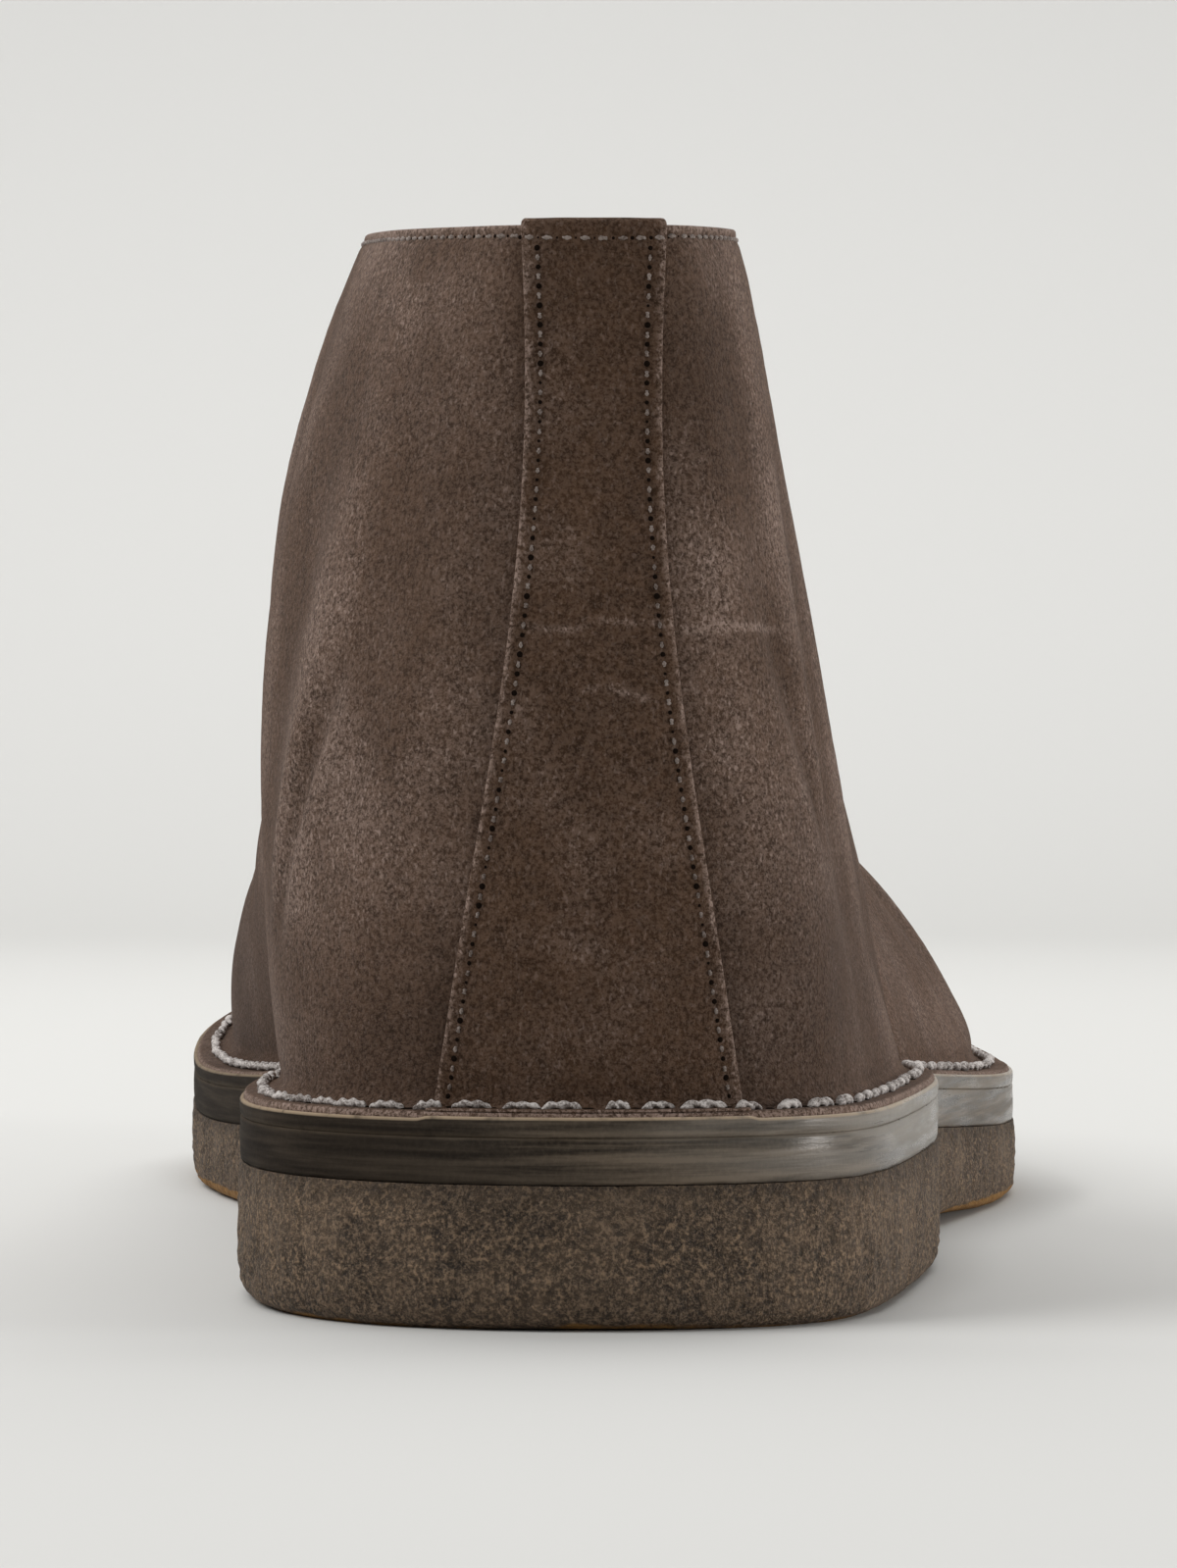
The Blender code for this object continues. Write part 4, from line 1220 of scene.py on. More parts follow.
CREASES = (
    Crease(Side.OUTER, 25.0, 0.29, 17.0, 0.56, 2.4, 0.55),
    Crease(Side.ARCH, 32.0, 0.18, 22.0, 0.52, 2.2, 0.80),
    Crease(Side.OUTER, 14.0, 0.30, 20.0, 0.86, 5.5, 0.45),
    Crease(Side.OUTER, 40.0, 0.16, 38.0, 0.78, 7.0, 0.70),
    Crease(Side.OUTER, 66.0, 0.30, 55.0, 0.92, 6.0, 0.75),
    Crease(Side.OUTER, 100.0, 0.34, 78.0, 0.84, 4.5, 0.85),
    Crease(Side.OUTER, 112.0, 0.52, 92.0, 0.90, 3.5, 0.55),
    Crease(Side.OUTER, 84.0, 0.06, 60.0, 0.22, 6.0, 0.50),
    Crease(Side.ARCH, 16.0, 0.28, 18.0, 0.80, 6.0, 0.45),
    Crease(Side.ARCH, 44.0, 0.22, 36.0, 0.82, 6.5, 0.60),
    Crease(Side.ARCH, 74.0, 0.36, 60.0, 0.88, 6.0, 0.75),
    Crease(Side.ARCH, 104.0, 0.40, 82.0, 0.86, 4.5, 0.85),
    Crease(Side.ARCH, 116.0, 0.55, 98.0, 0.92, 3.5, 0.50),
    Crease(Side.ARCH, 92.0, 0.10, 66.0, 0.26, 6.0, 0.50),
    Crease(Side.OUTER, 176.0, 0.22, 188.0, 0.90, 3.4, 0.55),
    Crease(Side.OUTER, 190.0, 0.18, 204.0, 0.84, 3.0, 0.50),
    Crease(Side.OUTER, 206.0, 0.24, 216.0, 0.70, 3.2, 0.30),
    Crease(Side.ARCH, 178.0, 0.30, 190.0, 0.92, 3.2, 0.55),
    Crease(Side.ARCH, 194.0, 0.26, 205.0, 0.86, 3.0, 0.45),
    Crease(Side.ARCH, 212.0, 0.32, 219.0, 0.72, 3.2, 0.28),
)


@dataclass(frozen=True)
class Patch:
    """Soft patch that paints the upper paler or darker; some are painted highlights and painted shade."""

    place: Triple
    size: Triple
    rub: float = 0.0
    shade: float = 0.0

    def cover(self, points: Array) -> Array:
        """How much of the patch lies on each point, from 0 to 1."""
        return np.exp(-np.sum(((points - self.place) / self.size) ** 2, axis=-1))


PATCHES = (
    Patch((-17.0, 12.0, 105.5), (9.0, 25.0, 4.5), rub=0.20),
    Patch((-15.0, 10.0, 98.0), (7.0, 18.0, 8.0), shade=0.25),
    # painted highlight along a fold on the arch-side quarter, two thin rows with a broader paler patch beside
    # them
    Patch((-25.5, 20.0, 60.0), (2.6, 25.0, 8.0), rub=0.60),
    Patch((-30.5, 24.0, 45.0), (2.4, 25.0, 7.0), rub=0.50),
    Patch((-22.0, 18.0, 50.0), (9.0, 25.0, 13.0), rub=0.25),
    Patch((17.0, 14.0, 53.5), (4.0, 22.0, 10.0), rub=0.40),
    Patch((13.5, 12.0, 76.0), (3.0, 22.0, 5.0), rub=0.35),
    Patch((20.0, 20.0, 88.0), (3.5, 22.0, 10.0), rub=0.25),
    # painted shade beside the strap on the outer quarter
    Patch((11.5, 10.0, 97.0), (4.0, 18.0, 11.0), shade=0.60),
    Patch((-12.0, 8.0, 80.0), (6.0, 18.0, 14.0), shade=0.25),
    Patch((0.0, 10.0, 30.0), (34.0, 25.0, 8.0), shade=0.34),
    # painted shade over the lower outer corner, which faces a side lamp
    Patch((25.0, 22.0, 37.0), (12.0, 28.0, 13.0), shade=0.50),
    # painted shadow of a neighbouring boot, low on the arch side
    Patch((-50.0, 190.0, 26.0), (16.0, 60.0, 16.0), shade=0.80),
)


def folds_wear_and_painted_light(points: Array) -> tuple[Array, Array, Array]:
    """Listed folds and the leather's own unevenness.

    Args:
        points: Places on the upper.

    Returns:
        How far each point moves out, its shade mark, with painted shade in the creases' troughs and some
        patches, and its pale mark, with wear and some painted highlights.
    """
    lift = 0.26 * grain(points, 24.0, 1) + 0.06 * grain(points, 6.0, 1)
    depth = np.zeros(points.shape[:-1])
    for crease in CREASES:
        move, trough = crease.press(points)
        lift, depth = lift + move, depth + trough
    rub = 0.42 * grain(points, 17.0, 3) + 0.10 + 0.6 * np.clip(lift, -0.1, 0.3)
    # painted shade in the creases' troughs
    shade = 0.26 * depth
    for patch in PATCHES:
        cover = patch.cover(points)
        rub, shade = rub + patch.rub * cover, shade + patch.shade * cover
    return lift, np.clip(shade, 0.0, 0.8), np.clip(rub, 0.0, 1.0)


@dataclass(frozen=True)
class Seam:
    """Front edge of a quarter, where it laps over the vamp."""

    side: Side
    base: float
    top: float = 157.0
    round_off: float = 6.0
    rows: tuple[float, ...] = (1.6, 3.8)

    def foot(self, rise: Array) -> Array:
        """Distance from the back of the sole at each rise."""
        way = np.clip(rise, 0.0, 1.0)
        reach = self.base + (self.top + self.round_off - self.base) * way ** 1.15
        return reach - self.round_off * smooth_step(way, 0.86, 1.0) ** 2

    def turn(self, rise: Array, back: float = 0.0) -> Array:
        """Angle round the plan, a distance behind the edge."""
        turn = LAST.turn_of(self.foot(rise) - back)
        return turn if self.side is Side.OUTER else FULL_TURN - turn

    def line(self, back: float, low: float, high: float) -> tuple[Array, Array]:
        """Line beside the edge.

        Args:
            back: Distance behind the edge, over the leather.
            low: Rise where it starts.
            high: Rise where it ends.

        Returns:
            Points and outward normals.
        """
        rise = np.linspace(low, high, 240)
        edge = LAST.skin(self.turn(rise), rise)
        normal = LAST.skin_normal(self.turn(rise), rise)
        forward = unit(np.gradient(edge, axis=0))
        behind = self.side.value * unit(np.cross(normal, forward))
        return edge + back * behind, normal


SEAMS = {Side.OUTER: Seam(Side.OUTER, 119.0), Side.ARCH: Seam(Side.ARCH, 128.0)}


@dataclass(frozen=True)
class Stitch:
    """One kind of stitch."""

    pitch: float
    length: float
    radius: float
    lift: float
    hole: float = 0.34
    uneven: float = 0.12
    turns: float = 0.8
    fineness: int = 8
    lean: float = 0.0


@dataclass
class Needlework:
    """Thread and needle holes of all rows in one kind of thread."""

    name: str
    seed: int

    def __post_init__(self) -> None:
        """Start the thread, its holes and their small unevenness."""
        self.thread = PieceMaker(self.name)
        self.holes = PieceMaker(f"{self.name}_holes")
        self.chance = np.random.default_rng(self.seed)

    def row(self, line: Array, normals: Array, stitch: Stitch) -> None:
        """Sew along a line.

        Args:
            line: Points on the leather.
            normals: Outward directions at them.
            stitch: Kind of stitch.
        """
        run = run_along(line)
        count = max(int(run[-1] / stitch.pitch), 1)
        pitch = run[-1] / count
        scatter = self.chance.normal(0.0, stitch.uneven, (count + 1, 4))
        for k in range(count + 1):
            size = float(np.clip(0.9 + 1.6 * scatter[k, 3], 0.55, 1.15)) * stitch.hole
            self.needle_hole(line, normals, run, k * pitch, size)
            if k < count:
                middle = (k + 0.5) * pitch + 0.3 * scatter[k, 0] * stitch.length
                self.strand(line, normals, run, middle, stitch, scatter[k])

    @staticmethod
    def at(line: Array, normals: Array, run: Array, places: Array) -> tuple[Array, Array, Array]:
        """Points, normals and forward directions at distances along a line."""
        places, step = np.clip(places, 0.0, run[-1]), 0.2
        forward = read_along(places + step, run, line) - read_along(places - step, run, line)
        return read_along(places, run, line), unit(read_along(places, run, normals)), unit(forward)

    def strand(self, line: Array, normals: Array, run: Array, middle: float, stitch: Stitch,
               scatter: Array) -> None:
        """Lay one twisted strand that dips into the leather at both ends."""
        share = np.linspace(-1.0, 1.0, 2 * stitch.fineness - 3)
        length = stitch.length * (1.0 + 0.5 * scatter[1])
        point, out, forward = self.at(line, normals, run, middle + 0.5 * length * share)
        side = np.cross(out, forward)
        ends = np.abs(share) ** 4
        height = stitch.lift - 1.4 * stitch.radius * ends
        radius = stitch.radius * (1.0 + 0.4 * scatter[2]) * np.sqrt(np.clip(1.0 - ends, 0.0, 1.0))
        angle = np.linspace(0.0, FULL_TURN, stitch.fineness, endpoint=False)
        twist = 2.0 * angle[None, :] - FULL_TURN * stitch.turns * share[:, None] + 9.0 * scatter[0]
        reach = (radius[:, None] * (1.0 + 0.30 * np.cos(twist)))[..., None]
        drift = (stitch.radius * (0.5 * scatter[3] * (1.0 + share) + stitch.lean * share))[:, None, None]
        wide = 1.12 * np.cos(angle)[None, :, None] * reach + drift
        high = np.sin(angle)[None, :, None] * reach + height[:, None, None]
        points = point[:, None] + wide * side[:, None] + high * out[:, None]
        self.thread.skin(self.thread.grid(points), closed=True)

    def needle_hole(self, line: Array, normals: Array, run: Array, place: float,
                    size: float) -> None:
        """Set a near-black disc of painted shade for one needle hole, just proud of the leather."""
        point, out, forward = self.at(line, normals, run, np.array([place]))
        edge = size * circle(10, np.cross(out, forward), forward)
        rings = [point + share * edge + lift * out
                 for share, lift in ((0.0, 0.13), (0.6, 0.12), (1.0, 0.04))]
        self.holes.skin(self.holes.grid(np.stack(rings)), closed=True)

    def make(self, thread: Finish, hole: Finish, slot: str) -> None:
        """Make the thread and its holes."""
        self.thread.make(thread, slot)
        self.holes.make(hole, slot)


# ---- sole

@dataclass
class Sole:
    """Crepe wedge, leather midsole, the flange's dressed edge and the sock inside."""

    columns: int = 1040
    across: int = 12
    crepe_rows: int = 26
    pebble: float = 0.30
    bare_rim: float = 0.17

    def __post_init__(self) -> None:
        """Angles of the columns round the plan."""
        self.turn = np.linspace(0.0, FULL_TURN, self.columns, endpoint=False)
        self.foot = LAST.foot_of(self.turn)

    def ring(self, inset: float | Array, height: Curve, lift: float | Array) -> Array:
        """Points round the plan at an inset, at a lift above a height of the sole."""
        points = LAST.plan(self.turn, np.broadcast_to(inset, self.turn.shape))
        return points + (height(points[:, 1]) + lift)[:, None] * UP

    def cap(self, maker: PieceMaker, rings: list[Array], which: int, height: Curve, lift: float,
            **values: float) -> None:
        """Close one ring of the sole with rows across it.

        Args:
            maker: The piece.
            rings: Point numbers of all its rings.
            which: The ring that is closed, counted from 0.
            height: Height of the face along the sole.
            lift: Distance above that height.
            values: Marks on the face.
        """
        numbers, ring, half = rings[which], maker.points[which], self.columns // 2
        order = np.arange(half + 1), np.append(0, np.arange(self.columns - 1, half - 1, -1))
        rows = [numbers[order[0]]]
        for share in np.linspace(0.0, 1.0, self.across + 2)[1:-1]:
            points = (1.0 - share) * ring[order[0]] + share * ring[order[1]]
            points[:, 2] = height(points[:, 1]) + lift
            rows.append(maker.grid(points, **values))
        rows.append(numbers[order[1]])
        maker.skin(np.stack(rows))

    def crepe(self, finishes: Finishes) -> Piece:
        """Crepe wedge with a pebbled, slightly full side."""
        place = (0.0, 1.0, 2.0, 3.0, 4.0, 5.0)
        inset_at = level_curve(place, (-2.2, -0.85, -0.25, 0.0, -0.06, -0.20))
        share_at = level_curve(place, (0.0, 0.05, 0.16, 0.46, 0.86, 1.0))
        maker, over = PieceMaker("crepe_wedge", ("up",)), 0.2
        rows = []
        for step in np.linspace(0.0, 5.0, self.crepe_rows):
            inset, share = -float(inset_at(step)), float(share_at(step))
            edge = LAST.plan(self.turn, np.full_like(self.turn, inset))
            low, high = LAST.tread(edge[:, 1]), LAST.crepe_top(edge[:, 1]) + over
            edge[:, 2] = low + share * (high - low)
            rough = self.pebble * grain(edge, 1.9, 2) + 0.16 * grain(edge, 9.0, 1)
            rough = rough * float(smooth_step(share, 0.0, 0.12)) - 0.06
            edge = edge + rough[:, None] * LAST.outward(self.turn)
            edge[:, 2] += 0.16 * np.abs(grain(edge, 5.0, 1)) * (1.0 - share) * min(step, 1.0)
            bare = self.bare_rim * smooth_step(edge[:, 1], 110.0, 170.0)
            rows.append(maker.grid(edge, up=share - bare * (1.0 - share)))
        self.cap(maker, rows, 0, LAST.tread, 0.0, up=0.0)
        self.cap(maker, rows, self.crepe_rows - 1, LAST.crepe_top, over, up=1.0)
        maker.skin(np.stack(rows), closed=True)
        return self.finished(maker, finishes.crepe, "crepe", "outsole")

    def midsole(self, finishes: Finishes) -> Piece:
        """Leather midsole with a dressed edge, a little full in its middle."""
        maker = PieceMaker("midsole_leather", ("raw", "scuff"))
        under, over = 0.27, LAST.gap + LAST.midsole + 0.24
        edge = ((0.95, under, 0.0), (0.36, under + 0.03, 0.0), (0.27, 0.7, 0.0), (0.22, 1.8, 0.0),
                (0.20, 2.7, 0.0), (0.22, 3.6, 0.0), (0.26, over - 0.45, 0.0), (0.34, over - 0.15, 0.06),
                (0.52, over - 0.03, 0.12), (1.2, over, 0.08))
        rows = []
        for inset, lift, raw in edge:
            ring = self.ring(inset, LAST.crepe_top, lift)
            smear = 0.035 * grain(ring * np.array([0.25, 0.25, 2.0]), 2.0, 2)
            rows.append(maker.grid(ring + smear[:, None] * LAST.outward(self.turn), raw=raw,
                                   scuff=self.scuff(ring) * (0.70 + 0.07 * lift)))
        self.cap(maker, rows, 0, LAST.crepe_top, under)
        self.cap(maker, rows, len(rows) - 1, LAST.crepe_top, over)
        maker.skin(np.stack(rows), closed=True)
        return self.finished(maker, finishes.edge, "burnished_leather", "midsole")

    def flange_edge(self, finishes: Finishes) -> Piece:
        """Dressed edge of the turned-out flange, raw at its top corner."""
        maker = PieceMaker("flange_edge", ("raw", "scuff"))
        strap = BackStrap.cover(self.turn)
        top, drop = -0.46 + 0.24 * strap, LAST.wall_thickness
        worn = 0.42 + 0.26 * (1.0 - smooth_step(self.foot, 20.0, 60.0)) + 0.14 * strap
        edge = ((1.10, -drop - 0.12, 0.0), (0.44, -drop - 0.10, 0.08), (0.28, -drop + 0.12, 0.05),
                (0.22, -drop + 0.5, 0.0), (0.20, -1.25, 0.0), (0.22, top - 0.36, 0.0),
                (0.25, top - 0.24, 0.7 * worn), (0.34, top - 0.07, worn), (0.52, top, worn),
                (0.80, top - 0.02, 0.7 * worn), (1.15, top - 0.3, 0.0))
        rows = []
        for inset, lift, raw in edge:
            ring = self.ring(inset, LAST.flange_top, lift)
            ring = ring + (0.05 * grain(ring, 3.0, 2))[:, None] * LAST.outward(self.turn)
            rows.append(maker.grid(ring, raw=raw, scuff=self.scuff(ring)))
        maker.skin(np.stack(rows + rows[:1]), closed=True)
        return self.finished(maker, finishes.edge, "burnished_leather", "upper")

    @staticmethod
    def scuff(points: Array) -> Array:
        """Painted side light on the dressed edge: most on the outer side, where a grey glare is painted,
        least up the arch side, where it is painted darker.
        """
        return smooth_step(points[:, 0], -34.0, 44.0) * (1.0 - 0.35 * smooth_step(points[:, 1], 50.0, 110.0))

    def sock(self, finishes: Finishes) -> Piece:
        """Leather sock on the floor inside."""
        maker = PieceMaker("insole_sock", ("rub",))
        inset = LAST.flange_width(self.foot) + LAST.flange_inset + LAST.wall_thickness + LAST.gap
        under, over = LAST.gap, LAST.gap + 3.0
        edge = ((0.0, under), (0.0, over - 1.0), (0.15, over - 0.4), (0.45, over - 0.1), (0.9, over))
        rows = [maker.grid(self.ring(inset + more, LAST.midsole_top, lift)) for more, lift in edge]
        self.cap(maker, rows, 0, LAST.midsole_top, under)
        self.cap(maker, rows, len(rows) - 1, LAST.midsole_top, over, rub=0.35)
        maker.skin(np.stack(rows), closed=True)
        return self.finished(maker, finishes.sock, "tan_leather", "insole")

    @staticmethod
    def finished(maker: PieceMaker, finish: Finish, slot: str, node: str) -> Piece:
        """Make a piece that stands for one node."""
        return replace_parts(maker.make(finish, slot, weld=0.002), node)


# ---- upper

@dataclass
class BackStrap:
    """Strap over the back seam, from under the sole stitching up and over the collar."""

    flange_lift: float = 0.25
    thickness: float = 0.8
    inner_lift: float = 0.25
    fold: float = 7.0
    ease: float = 0.4
    columns: int = 72
    stitch_inset: float = 1.35

    @staticmethod
    def width(height: Array) -> Array:
        """Width of the strap at a height."""
        return open_spline(*zip(*STRAP_ROWS))(height)

    @staticmethod
    def heel_line(rise: float) -> tuple[Array, Array]:
        """Angles round the back at one level, and their signed distances from its middle."""
        turn = np.linspace(-1.1, 1.1, 441)
        run = run_along(LAST.skin(turn, rise))
        return turn, run - run[len(run) // 2]

    @staticmethod
    def round_the_back(rise: float, distance: Array) -> Array:
        """Angles at signed distances from the back's middle, along one level."""
        turn, run = BackStrap.heel_line(rise)
        return np.interp(distance, run, turn)

    @staticmethod
    def on_wall(rise: Array) -> Array:
        """0 on the flange to 1 where the strap has its whole lift off the wall."""
        return smooth_step(rise, -0.9, 0.02)

    @staticmethod
    def cover(turn: Array) -> Array:
        """1 where the strap covers the flange's edge, else 0."""
        angles, run = BackStrap.heel_line(-2.0)
        return 1.0 - smooth_step(np.abs(np.interp(from_back(turn), angles, run)), 16.6, 18.0)

    def spread(self, rise: float) -> float:
        """Width of the strap at a rise; it widens a little over the flange."""
        height = float(LAST.wall(0.0, max(rise, 0.0))[2])
        return float(self.width(height)) - 1.6 * min(rise, 0.0)

    def face(self, lift: float, low: float) -> tuple[Array, Array]:
        """One face of the strap.

        Args:
            lift: Distance off the upper on the wall.
            low: Distance off it on the flange.

        Returns:
            Rows of points from the flange's edge to the end of the fold, and their rises.
        """
        shares = np.linspace(-0.5, 0.5, self.columns)
        rises = levels((-1.82, 5), (-1.0, 9), (0.0, 47), (0.42, 43), (0.56, 51), (1.0, 0))
        rows = []
        for rise in rises:
            turn = self.round_the_back(rise, shares * self.spread(rise))
            off = low + (lift - low) * float(self.on_wall(rise))
            rows.append(LAST.skin(turn, rise) + off * LAST.skin_normal(turn, rise))
        turn = self.round_the_back(1.0, shares * self.spread(1.0))
        rim, out = LAST.wall(turn, 1.0), LAST.skin_normal(turn, 1.0)
        up = unit(LAST.wall(turn, 1.0) - LAST.wall(turn, 0.98))
        half = 0.5 * LAST.wall_thickness
        centre = rim - half * out
        boxy = 0.75
        for angle in np.linspace(0.0, math.pi, 20)[1:-1]:
            swing, climb = math.cos(angle), math.sin(angle) ** boxy
            swing = math.copysign(abs(swing) ** boxy, swing)
            ease = 0.5 * self.ease * (1.0 - swing)
            rows.append(centre + (half + lift + ease) * swing * out + lift * climb * up)
        for depth in np.linspace(0.0, self.fold, 10):
            rows.append(rim - (LAST.wall_thickness + lift + self.ease) * out - depth * up)
        return np.array(rows), np.append(rises, np.full(len(rows) - len(rises), 1.0))

    def make(self, finishes: Finishes) -> Piece:
        """Make the strap."""
        outer, rises = self.face(LAST.gap + self.thickness, LAST.gap + self.flange_lift)
        inner, _ = self.face(self.inner_lift, self.inner_lift)
        across = np.linspace(-0.5, 0.5, self.columns)[None, :]
        width = np.array([self.spread(rise) for rise in rises])[:, None]
        from_edge = width * (0.5 - np.abs(across))
        line = self.stitch_inset
        trough = np.exp(-((from_edge - line) / 0.5) ** 2) * (1.0 - smooth_step(rises, 0.96, 0.99))[:, None]
        swell = 0.05 * grain(outer, 9.0, 2) + 0.03 * smooth_step(from_edge, line, line + 2.5)
        normal = unit(np.cross(np.gradient(outer, axis=1), np.gradient(outer, axis=0)))
        side = np.sign(np.sum(normal * (outer - inner), axis=-1, keepdims=True))
        outer = outer + (swell - 0.10 * trough - 0.05)[..., None] * normal * side
        rub = np.clip(0.45 * grain(outer, 11.0, 2) + 0.02, 0.0, 1.0)
        rub = rub + (0.7 + 0.9 * grain(outer, 1.4, 1)) * np.exp(-(from_edge / 0.4) ** 2)
        height = outer[..., 2]
        # painted shade in the stitch rows' troughs; darker towards the top and the bottom of the strap
        shade = 0.25 * trough + 0.22 * smooth_step(height, 80.0, 104.0)
        shade = shade + 0.18 * (1.0 - smooth_step(height, 26.0, 48.0))
        maker = PieceMaker("heel_strap", ("rub", "shade"))
        maker.sheet(outer, inner, 0.35, rub=np.clip(rub + self.scratches(outer), 0.0, 1.0), shade=shade,
                    edge={"rub": 0.75, "shade": 0.1})
        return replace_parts(maker.make(finishes.strap_suede, "suede", weld=0.002), "back_strap")

    @staticmethod
    def scratches(points: Array) -> Array:
        """Faint pale scuffs across the middle of the strap."""
        waver = 0.8 * grain(points * np.array([1.0, 0.2, 0.0]), 6.0, 2)
        x, worn = points[..., 0], np.zeros(points.shape[:-1])
        for height, slope, start, end in ((71.0, 0.06, -8.0, 9.0), (64.5, -0.12, -2.0, 8.0)):
            from_line = points[..., 2] - height - slope * x - waver
            across = smooth_step(x, start, start + 3.0) - smooth_step(x, end - 3.0, end)
            worn = worn + across * np.exp(-(from_line / 0.35) ** 2)
        return 0.90 * worn * (0.6 + 0.4 * np.clip(grain(points, 2.0, 2) * 2.0, -1.0, 1.0))


@dataclass
class Quarters:
    """The two quarters as one wrap from seam to seam round the back, and the lining in it."""

    columns: int = 420
    outer_lift: float = 0.25
    inner_lift: float = -1.1
    lining_lift: float = -1.2
    lining_end: float = 0.994
    lining_back: float = 9.0
    collar_row: float = 0.9
    facing_row: float = 2.0

    @staticmethod
    def rises() -> Array:
        """Levels up the wrap, closer at the bend and near the top."""
        return levels((-1.75, 3), (-1.0, 8), (0.0, 33), (0.50, 14), (0.56, 27), (0.955, 12), (1.0, 0))

    def turns(self, rises: Array, back: float, count: int) -> Array:
        """Angles of every point.

        Args:
            rises: Levels up the wrap.
            back: Distance by which the ends stay behind the seams.
            count: Number of columns.

        Returns:
            A grid of angles, a row for each level.
        """
        share = np.linspace(0.0, 1.0, 2000)
        dense = np.ones_like(share)
        for place, more, width in ((0.097, 2.2, 0.018), (0.903, 2.2, 0.018), (0.0, 1.6, 0.014),
                                   (1.0, 1.6, 0.014)):
            dense += more * np.exp(-((share - place) / width) ** 2)
        run = np.append(0.0, np.cumsum(0.5 * (dense[1:] + dense[:-1])))
        share = np.interp(np.linspace(0.0, run[-1], count), run, share)
        start = SEAMS[Side.OUTER].turn(rises, back)[:, None]
        end = SEAMS[Side.ARCH].turn(rises, back)[:, None] - FULL_TURN
        return start + (end - start) * share[None, :]

    def row_depth(self, turn: Array) -> Array:
        """Distance of the top stitch row below the edge: nearer on the collar."""
        step = smooth_step(LAST.foot_of(turn), 104.0, 116.0)
        return self.collar_row + (self.facing_row - self.collar_row) * step

    def wrap(self, finishes: Finishes) -> Piece:
        """Suede wrap with its folds, pressed seams and worn edges."""
        rises = self.rises()
        turn, rise = self.turns(rises, 0.0, self.columns), rises[:, None]
        skin, normal = LAST.skin(turn, rise), LAST.skin_normal(turn, rise)
        lift, shade, rub = folds_wear_and_painted_light(skin)
        climb = np.linalg.norm(np.diff(skin, axis=0), axis=-1)
        from_top = np.cumsum(np.vstack([np.zeros(self.columns), climb[::-1]]), axis=0)[::-1]
        step = np.linalg.norm(np.diff(skin, axis=1), axis=-1)
        level = np.zeros((len(rises), 1))
        from_front = np.minimum(np.cumsum(np.hstack([level, step]), axis=1),
                                np.cumsum(np.hstack([level, step[:, ::-1]]), axis=1)[:, ::-1])
        slant = 0.82 - 0.18 * np.clip(rise, 0.0, 1.0)
        rows = np.exp(-((from_top - self.row_depth(turn)) / 0.5) ** 2) * smooth_step(rise, 0.6, 0.9)
        for back in SEAMS[Side.OUTER].rows:
            rows = rows + np.exp(-((from_front * slant - back) / 0.5) ** 2) * smooth_step(rise, -0.4, 0.0)
        on_wall = smooth_step(rise, -0.6, 0.15)
        edge = smooth_step(from_top, 0.0, 6.0) * smooth_step(from_front, 0.0, 8.0)
        lift = self.outer_lift + on_wall * edge * lift - 0.16 * np.clip(rows, 0.0, 1.0)
        # painted shade beside the strap and in the stitch rows' troughs; darker along the bend at the wall's
        # foot
        beside = np.abs(np.abs(skin[..., 0]) - 0.5 * BackStrap.width(skin[..., 2]))
        shade = shade + (np.abs(from_back(turn)) < 0.6) * (0.3 * np.exp(-beside / 1.2)
                                                           + 0.15 * np.exp(-beside / 6.0))
        shade = shade + 0.35 * np.exp(-np.abs(rise + 0.15) / 0.25) + 0.12 * np.clip(rows, 0.0, 1.0)
        rub = rub * (0.4 + 0.6 * on_wall) + 0.8 * np.exp(-from_top / 0.5)
        rub = rub + 0.7 * np.exp(-from_front / 0.6) + self.scratch(skin)
        maker = PieceMaker("quarters", ("rub", "shade"))
        maker.sheet(skin + lift[..., None] * normal, skin + self.inner_lift * normal, 0.5,
                    rub=np.clip(rub, 0.0, 1.0), shade=np.clip(shade, 0.0, 1.0), edge={"rub": 0.8})
        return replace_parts(maker.make(finishes.suede, "suede", weld=0.0), "upper")

    @staticmethod
    def scratch(points: Array) -> Array:
        """Faint level scratch on the outer quarter beside the strap."""
        x, z = points[..., 0], points[..., 2]
        waver = 0.5 * grain(points * np.array([1.0, 0.2, 0.0]), 7.0, 2)
        across = smooth_step(x, 8.5, 11.0) - smooth_step(x, 17.0, 21.0)
        return 1.3 * across * np.exp(-((z - 71.0 - waver) / 0.40) ** 2) * (points[..., 1] < 40.0)

    def lining(self, finishes: Finishes) -> Piece:
        """Tan leather lining, cut just below the top edge."""
        rises = np.append(self.rises()[:-12:2], self.rises()[-12:-1:3])
        rises[-1] = self.lining_end
        turn, rise = self.turns(rises, self.lining_back, self.columns // 2), rises[:, None]
        skin, normal = LAST.skin(turn, rise), LAST.skin_normal(turn, rise)
        maker = PieceMaker("lining", ("rub",))
        swell = 0.06 * grain(skin, 14.0, 2)[..., None]
        maker.sheet(skin + self.lining_lift * normal, skin - (LAST.wall_thickness + swell) * normal, 0.7,
                    edge={"rub": 0.5})
        return maker.make(finishes.lining, "tan_leather", weld=0.0)

    def top_row(self) -> tuple[Array, Array]:
        """Line of the stitch row below collar and facings, with its normals."""
        ends = [float(SEAMS[side].turn(np.array([1.0]), 2.4)[0]) for side in (Side.OUTER, Side.ARCH)]
        turn = np.linspace(ends[0], ends[1] - FULL_TURN, 900)
        rise = np.array([LAST.rise_below_top(turn[k:k + 1], depth)[0]
                         for k, depth in enumerate(self.row_depth(turn))])
        normal = LAST.skin_normal(turn, rise)
        return LAST.skin(turn, rise) + self.outer_lift * normal, normal


